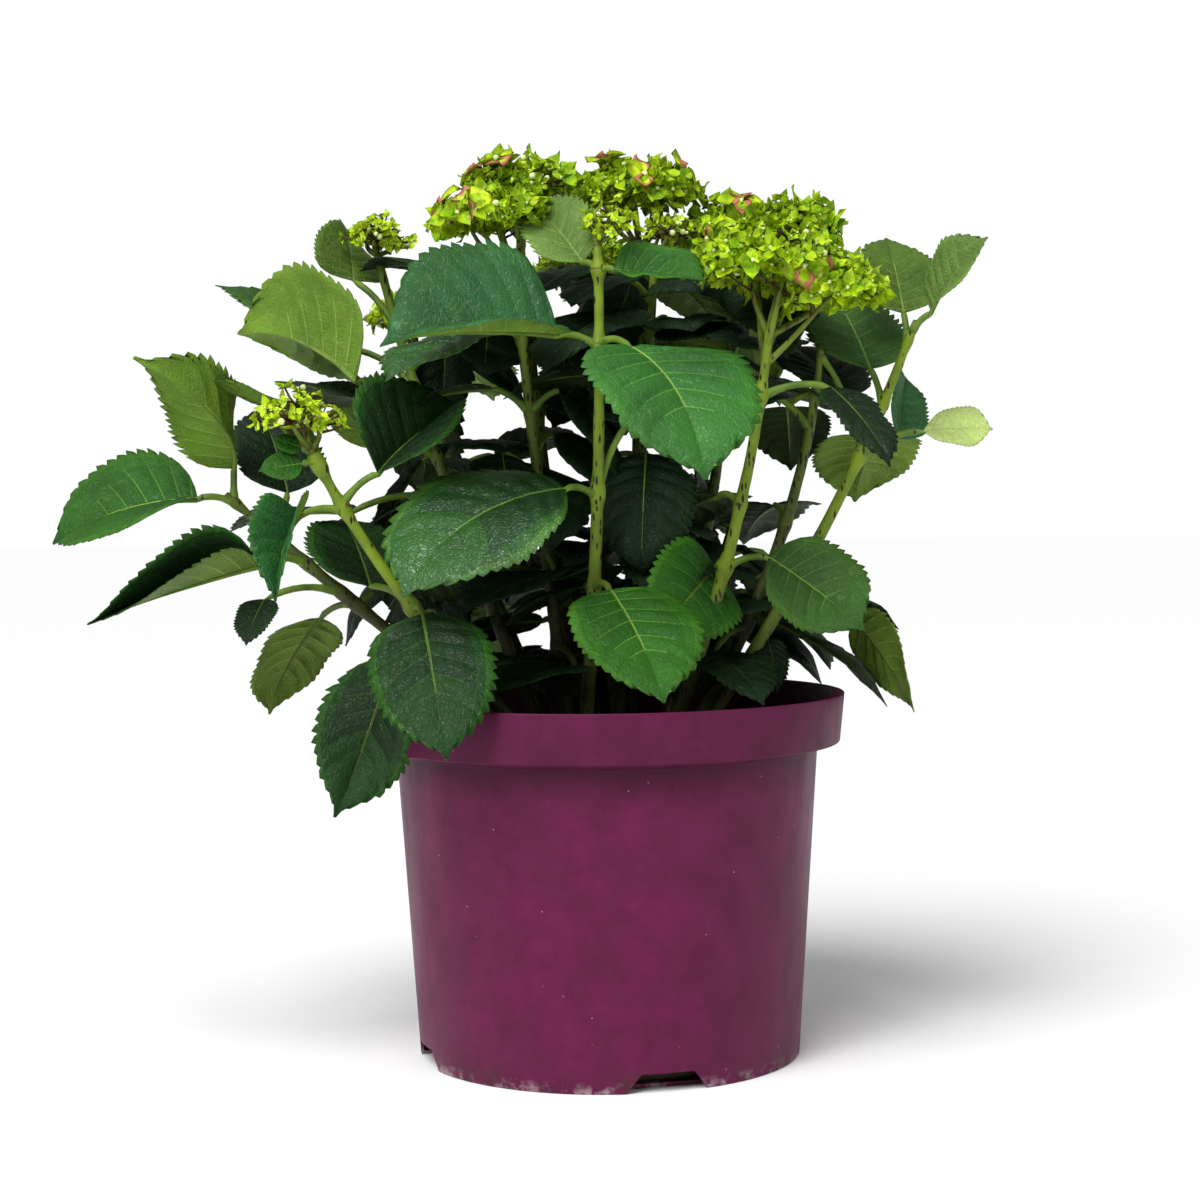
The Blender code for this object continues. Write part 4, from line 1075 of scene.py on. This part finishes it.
def addSepal(bm, size, draw, blush, slot, rimSlot):
    # a pointed, cupped sepal of two sheets that meet at the margin
    long, wide = (5, 4) if blush else (3, 2)
    length = size * draw.uniform(0.75, 1.20)
    cup = draw.uniform(-0.30, 0.75)
    crease = draw.uniform(0.10, 0.45)
    ruffle = draw.uniform(-0.22, 0.22)
    width = draw.uniform(0.34, 0.54) * (1.30 if blush else 1.0)
    swing = draw.uniform(-0.25, 0.25)
    both = []
    for under in (0, 1):
        sheet = bmesh.ops.create_grid(bm, x_segments=long, y_segments=wide, size=0.5)["verts"]
        for face in facesOf(sheet):
            centre = face.calc_center_median()
            rim = centre.x > 0.2 or (blush and abs(centre.y) > 0.3)
            face.material_index = rimSlot if rim else slot
            if under:
                face.normal_flip()
        for vert in sheet:
            share = vert.co.x + 0.5
            side = vert.co.y * 2
            inside = 0.01 < share < 0.99 and abs(side) < 0.99
            reach = length * width * along(sepalShape, share)
            rise = cup * share * share + crease * abs(side) * (1 - share * share) + 0.10 * share
            rise += ruffle * side * share
            vert.co = Vector((length * (0.10 + share), side * reach + length * swing * share,
                              length * rise - headLook["thickness"] * (under and inside)))
        both += sheet
    return both


def addBud(bm, radius):
    bud = bmesh.ops.create_icosphere(bm, subdivisions=1, radius=radius)["verts"]
    for face in facesOf(bud):
        face.material_index = budSlot
    return bud


def floretMesh(number, size, slots, blush=False):
    # four sepals, cupped by different amounts, and a bud in the middle
    draw = random.Random(number)
    bm = bmesh.new()
    for quarter in range(4):
        slot = draw.choice(slots)
        rimSlot = blushSlot if blush and quarter % 2 else draw.choice(slots)
        sepal = addSepal(bm, size, draw, blush, slot, rimSlot)
        turn = math.tau * (quarter + draw.uniform(-0.10, 0.10)) / 4
        bmesh.ops.rotate(bm, verts=sepal, cent=(0, 0, 0), matrix=Matrix.Rotation(turn, 3, "Z"))
        bmesh.ops.remove_doubles(bm, verts=sepal, dist=1e-6)
    bud = addBud(bm, size * headLook["eye"])
    bmesh.ops.translate(bm, verts=bud, vec=(0, 0, size * headLook["eyeLift"]))
    for face in bm.faces:
        face.smooth = blush or face.material_index == budSlot
    return meshFrom("floret" + str(number), bm)


def budMesh(size):
    bm = bmesh.new()
    addBud(bm, size)
    smoothFaces(bm)
    return meshFrom("bud", bm)


def standOn(place, up):
    return Matrix.Translation(place) @ zUp.rotation_difference(up).to_matrix().to_4x4()


def stamp(bm, mesh, matrix):
    mesh.transform(matrix)
    bm.from_mesh(mesh)
    mesh.transform(matrix.inverted())


def headSpots(plan, ends, draw):
    # florets spread over a small dome on each ray by the golden angle, in two layers
    look = headLook
    wide = plan["width"] * look["lobe"]
    tall = plan["depth"] * look["lobeHeight"] + look["lobeLift"]
    for end in ends:
        grown = draw.uniform(0.82, 1.12)
        for layer, crowd in look["layers"]:
            count = round(math.tau * (wide * layer / look["spacing"]) ** 2 * crowd)
            for number in range(count):
                angle = math.sqrt((number + 0.5) / count) * look["domeAngle"]
                out = direction(number * look["goldenAngle"] + layer * 40, 90 - angle)
                offset = Vector((out.x * wide, out.y * wide, out.z * tall)) * layer * grown
                up = (out + zUp * look["upward"]).normalized()
                tilt = Vector((sway(draw, 1), sway(draw, 1), draw.uniform(-0.5, 0.6))) * look["tilt"]
                yield end + offset + up * draw.uniform(-1, 1) * look["scatter"], (up + tilt).normalized()


def growHead(name, cane, florets, petals, rays, twigs):
    # stalk, forking rays, then a floret or a bud at each spot on a thin twig of its own
    look = headLook
    plan = cane["head"]
    draw = random.Random(name + "Head")
    tip = canePoint(cane, cane["top"][2])
    way = (tip - canePoint(cane, cane["top"][2] - 0.03)).normalized()
    fork = tip + way * look["forkRise"]
    rays.append([(tip - way * 0.001, caneLook["tipRadius"]), (fork, caneLook["tipRadius"] * 0.9)])
    ends = []
    lobes = []
    broad = plan["width"] > look["broad"]
    rayRadius = look["rayRadius"] * look["broadRay" if broad else "slightRay"]
    for number in range(plan["rays"] + 1):
        # the last ray runs straight up to the middle of the dome
        middle = number == plan["rays"]
        out = direction(360 * number / plan["rays"] + look["rayHeading"], 0)
        out *= 0.0 if middle else plan["width"] * look["raySpread"] * draw.uniform(0.9, 1.12)
        level = look["middleLevel"]
        if not middle:
            level = draw.uniform(*look["rayLevel"]) - plan["droop"] * max(0.0, out.normalized().x)
        end = plan["centre"] + out + zUp * (plan["depth"] * level)
        lobes.append(end)
        # rays of a broad head leave the cane one below the other
        drop = look["forkStart"]
        if broad and not middle:
            drop = look["forkDrop"] * (0.3 + 0.7 * (number % 3) / 2)
        start = fork - way * drop
        path = []
        for step in range(7):
            share = step / 6
            bow = out * look["broadBow" if broad else "bow"] * math.sin(math.pi * share)
            path.append((start.lerp(end, share) + bow, rayRadius + (look["rayTip"] - rayRadius) * share))
        rays.append(path)
        ends += [end, path[4][0]]
    kinds = florets["bright" if plan["tint"] == "bright" or plan["width"] < look["slight"] else "lime"]
    for place, up in headSpots(plan, lobes, draw):
        stand = standOn(place, up) @ Matrix.Rotation(draw.uniform(0, math.tau), 4, "Z")
        kind = florets["bud"][0] if draw.random() < look["budShare"] else draw.choice(kinds)
        stamp(petals, kind, stand @ Matrix.Scale(draw.uniform(0.60, 1.30), 4))
        root = min(ends, key=lambda end: (end - place).length)
        elbow = root.lerp(place, 0.55) - up * 0.001
        twigs.append([(root, look["rayTip"] * 0.9), (elbow, look["twigRadius"] * 1.2),
                      (place, look["twigRadius"])])
    for heading, rise in plan["sepals"]:
        out = direction(heading, rise)
        reach, lift = plan["width"] * look["sepalReach"], plan["depth"] * look["sepalRise"]
        place = plan["centre"] + Vector((out.x * reach, out.y * reach, out.z * lift))
        up = (out + zUp * 0.3).normalized()
        stamp(petals, draw.choice(florets["big"]), standOn(place, up))
        root = min(ends, key=lambda end: (end - place).length)
        twigs.append([(root, look["rayTip"] * 0.9), (place - up * 0.0005, look["twigRadius"] * 1.5)])


def makeHeads():
    look = headLook
    size, small = look["floretSize"], look["floretSize"] * look["smallShare"]
    variants = range(look["variants"])
    # the slots that each kind's sepals are drawn from
    lime, bright, big = (0, 0, 0, 1, 2), (1, 1, 0), (0, 0, 1)
    florets = {
        "lime": [floretMesh(number, size, lime) for number in variants],
        "bright": [floretMesh(20 + number, small, bright) for number in variants],
        "big": [floretMesh(40 + number, look["bigSepal"], big, True) for number in range(3)],
        "bud": [budMesh(size * look["budSize"])],
    }
    materials = [sepalMaterial(name, colour) for name, colour in flowerColours.items()]
    rayFinish = stemMaterial("rayGreen", *look["rayColours"], look["flecks"])
    twigFinish = stemMaterial("twigRed", *look["twigColours"], look["flecks"])
    for group, names in headGroups.items():
        petals = bmesh.new()
        rays, twigs = [], []
        for name in names:
            growHead(name, canes[name], florets, petals, rays, twigs)
        blossom = addPiece("florets_" + group, petals)
        for material in materials:
            blossom.data.materials.append(material)
        nodes = [name + "_flower_head" for name in names]
        ship(blossom, nodes)
        for kind, paths, sides, finish in (("rays", rays, 6, rayFinish), ("twigs", twigs, 4, twigFinish)):
            limbs = addPiece(kind + "_" + group, tubes(kind + group, paths, sides))
            limbs.data.materials.append(finish)
            ship(limbs, nodes)
        print("head", group, len(blossom.data.polygons), len(rays), len(twigs))


sepalFinish = dict(cloud=(160.0, 3.0), dark=0.62, light=1.35, veins=(900.0, 2.0), gloss=(0.45, 0.62),
                   shine=0.22, bump=0.3, relief=0.0004)


def sepalMaterial(name, colour):
    look = sepalFinish
    material, tree, shader, place = newMaterial(name)
    base = mixColours(tree, patches(tree, place, look["cloud"], 0.35, 0.65), scaled(colour, look["dark"]),
                      scaled(colour, look["light"]))
    veins = speckle(tree, place, *look["veins"])
    rough = spread(tree, veins, 0.3, 0.7, *look["gloss"])
    finishShader(tree, shader, base, rough, look["shine"], veins, look["bump"], look["relief"])
    return material


# The pot: one turned shell with a rolled rim, four drainage notches and a satin finish.
potLook = dict(height=0.1744, wall=0.0015, floor=0.0020, baseRadius=0.0920, bodyTop=0.1017, shelf=0.0030,
               band=0.0234, rimLow=0.1126, rimTop=0.1150, steps=160, bevel=0.0007)
notchLook = dict(count=4, heading=-74.0, low=0.054, top=0.025, height=0.009, inner=0.081, depth=0.022)
# colours of the plastic, its dust, scuffs and soil splash; the last is a dark plum, painted shade under the
# shelf
potColours = dict(plum=(0.090, 0.008, 0.041), wine=(0.122, 0.011, 0.057), dust=(0.42, 0.33, 0.38),
                  scuff=(0.30, 0.22, 0.24), soil=(0.045, 0.020, 0.014), shelfShade=(0.020, 0.004, 0.010))
potFinish = dict(mottle=(48.0, 8.0, 0.72), dustScale=230.0, dustEdge=(0.05, 0.11), dustShare=0.08,
                 dustDepth=0.6, worn=(130.0, 5.0, 0.7), scuffHeights=(0.0005, 0.0060),
                 soiled=(42.0, 6.0, 0.75), splashHeights=(0.002, 0.013), soilDepth=0.8,
                 # painted shade under the shelf: its reach below, its fade above, what stays over the rim,
                 # and its strength
                 shelfShadeReach=0.016, shelfShadeOver=0.004, shelfShadeLeft=0.4, shelfShadeDepth=0.55,
                 smear=(60.0, 4.0), smearStretch=(1.0, 1.0, 0.35),
                 gloss=(0.38, 0.52), grain=(1400.0, 2.0), shine=0.12, bump=0.12, relief=0.0003)


def potMaterial():
    look = potFinish
    material, tree, shader, place = newMaterial("potPlum")
    height = heightOf(tree, place)
    base = mixColours(tree, patches(tree, place, look["mottle"], 0.38, 0.64), potColours["plum"],
                      potColours["wine"])
    dust = spots(tree, place, look["dustScale"], *look["dustEdge"], look["dustShare"])
    base = mixColours(tree, times(tree, dust, look["dustDepth"]), base, potColours["dust"])
    # scuffs at the very foot, then soil splashed on it
    scuffs = times(tree, spread(tree, height, *look["scuffHeights"], 1.0, 0.0),
                   patches(tree, place, look["worn"], 0.46, 0.60))
    base = mixColours(tree, scuffs, base, potColours["scuff"])
    splash = times(tree, spread(tree, height, *look["splashHeights"], 1.0, 0.0),
                   patches(tree, place, look["soiled"], 0.50, 0.62))
    base = mixColours(tree, times(tree, splash, look["soilDepth"]), base, potColours["soil"])
    # painted shade: darker up the wall towards the shelf's underside and darkest there, then a little
    # darker over the shelf and rim above
    ledge = potLook["height"] - potLook["band"] - potLook["shelf"]
    shelfShade = times(tree, spread(tree, height, ledge - look["shelfShadeReach"], ledge),
                  spread(tree, height, ledge, ledge + look["shelfShadeOver"], 1.0, look["shelfShadeLeft"]))
    base = mixColours(tree, times(tree, shelfShade, look["shelfShadeDepth"]), base, potColours["shelfShade"])
    smear = speckle(tree, stretched(tree, place, look["smearStretch"]), *look["smear"])
    rough = spread(tree, smear, 0.3, 0.7, *look["gloss"])
    grain = speckle(tree, place, *look["grain"])
    finishShader(tree, shader, base, rough, look["shine"], grain, look["bump"], look["relief"])
    return material


def makePot():
    look = potLook
    bandFoot = look["height"] - look["band"]
    bodyTop = bandFoot - look["shelf"]
    wall = look["wall"]

    def inner(height):
        share = height / bodyTop
        return look["baseRadius"] + (look["bodyTop"] - look["baseRadius"]) * share - wall

    profile = ((0, 0), (look["baseRadius"], 0), (look["bodyTop"], bodyTop), (look["rimLow"], bandFoot),
               (look["rimTop"], look["height"]), (look["rimTop"] - wall, look["height"]),
               (look["rimLow"] - wall, bandFoot + wall), (inner(bodyTop), bodyTop + wall),
               (inner(look["floor"]), look["floor"]), (0, look["floor"]))
    bm = bmesh.new()
    spinProfile(bm, profile, look["steps"], look["bevel"])
    pot = addPiece("potShell", bm)
    cutters = bmesh.new()
    for number in range(notchLook["count"]):
        block = bmesh.ops.create_cube(cutters, size=1.0)["verts"]
        for vert in block:
            top = vert.co.z > 0
            vert.co = Vector((notchLook["inner"] + (vert.co.x + 0.5) * notchLook["depth"],
                              vert.co.y * notchLook["top" if top else "low"],
                              notchLook["height"] * (1 if top else -1)))
        turn = math.radians(notchLook["heading"]) + number * math.tau / notchLook["count"]
        bmesh.ops.rotate(cutters, verts=block, cent=(0, 0, 0), matrix=Matrix.Rotation(turn, 3, "Z"))
    cutter = addPiece("notchCutter", cutters)
    cut = pot.modifiers.new("notches", "BOOLEAN")
    cut.operation = "DIFFERENCE"
    cut.solver = "EXACT"
    cut.object = cutter
    bpy.context.view_layer.update()
    mesh = bpy.data.meshes.new_from_object(pot.evaluated_get(bpy.context.evaluated_depsgraph_get()))
    pot.modifiers.clear()
    pot.data = mesh
    bpy.data.objects.remove(cutter, do_unlink=True)
    mesh.shade_smooth()
    mesh.set_sharp_from_angle(angle=math.radians(38))
    mesh.materials.clear()
    mesh.materials.append(potMaterial())
    ship(pot, ["pot"])
    print("pot", len(mesh.polygons))


# The compost: a crumbly top over the filling, with bark chips pressed into it.
soilLook = dict(footRadius=0.0770, sideRadius=0.0907, sideHeight=0.0115, rings=22, steps=96, topFrom=0.1,
                lift=0.0022, crumb=130.0, rimEase=0.006, sink=0.0006, under=0.0004,
                edgeDrop=0.0035, levelRadius=0.050, slope=0.045,
                dark=((0.030, 0.018, 0.012), (0.060, 0.036, 0.022)),
                chips=260, chipReach=0.091675, chipSize=0.0042, chipSink=0.001, thin=0.30,
                bark=((0.085, 0.048, 0.026), (0.045, 0.026, 0.016)))


def soilTop(radius):
    # how far the top lies below its middle
    look = soilLook
    return look["edgeDrop"] * smooth((radius - look["levelRadius"]) / look["slope"])


soilFinish = dict(cloud=(260.0, 5.0, 0.65), crumbs=(700.0, 6.0, 0.7), rough=0.95, shine=0.5, bump=0.9,
                  relief=0.0015)


def soilMaterial(name, colour, second):
    look = soilFinish
    material, tree, shader, place = newMaterial(name)
    base = mixColours(tree, patches(tree, place, look["cloud"], 0.35, 0.65), colour, second)
    crumbs = speckle(tree, place, *look["crumbs"])
    finishShader(tree, shader, base, look["rough"], look["shine"], crumbs, look["bump"], look["relief"])
    return material


def makeCompost():
    look = soilLook
    draw = random.Random("compost")
    low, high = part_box("compost")
    bm = bmesh.new()
    edge = high.x
    profile = [(0, low.z), (look["footRadius"], low.z), (look["sideRadius"], low.z + look["sideHeight"]),
               (edge, high.z - look["edgeDrop"])]
    for number in range(1, look["rings"] + 1):
        radius = edge * (1 - number / look["rings"])
        profile.append((radius, high.z - soilTop(radius) - look["under"]))
    spinProfile(bm, profile, look["steps"])
    for vert in bm.verts:
        if vert.co.z > look["topFrom"]:
            bump = noise.fractal(vert.co * look["crumb"], 1.0, 2.0, 4)
            ease = smooth((edge - vert.co.xy.length) / look["rimEase"])
            vert.co.z += bump * look["lift"] * ease - look["sink"]
    smoothFaces(bm)
    compost = addPiece("compostTop", bm)
    compost.data.materials.append(soilMaterial("compostDark", *look["dark"]))
    ship(compost, ["compost"])
    chips = bmesh.new()
    for number in range(look["chips"]):
        radius = math.sqrt(draw.random()) * look["chipReach"]
        place = direction(draw.uniform(0, 360), 0) * radius
        place.z = high.z - soilTop(radius) + draw.uniform(-look["chipSink"], look["chipSink"])
        size = look["chipSize"] * draw.uniform(0.4, 1.4)
        block = bmesh.ops.create_icosphere(chips, subdivisions=1, radius=1.0)["verts"]
        for vert in block:
            vert.co *= draw.uniform(0.75, 1.15)
        stand = Matrix.Translation(place) @ Matrix.Rotation(draw.uniform(0, math.tau), 4, "Z")
        stand @= Matrix.Rotation(sway(draw, 0.5), 4, "X")
        stand @= Matrix.Diagonal((size, size * draw.uniform(0.35, 0.8), size * look["thin"], 1))
        bmesh.ops.transform(chips, matrix=stand, verts=block)
    bark = addPiece("barkChips", chips)
    bark.data.materials.append(soilMaterial("barkBrown", *look["bark"]))
    ship(bark, ["compost"])
    print("compost", len(compost.data.polygons), "chips", len(bark.data.polygons))


makeCamera()
makeStudio()
makePot()
makeCompost()
settled = settledLeaves()
print("leaves settled:", len(settled))
inner = makeLeaves(settled)
makeStalks(settled + inner)
makeStems(settled)
makeHeads()
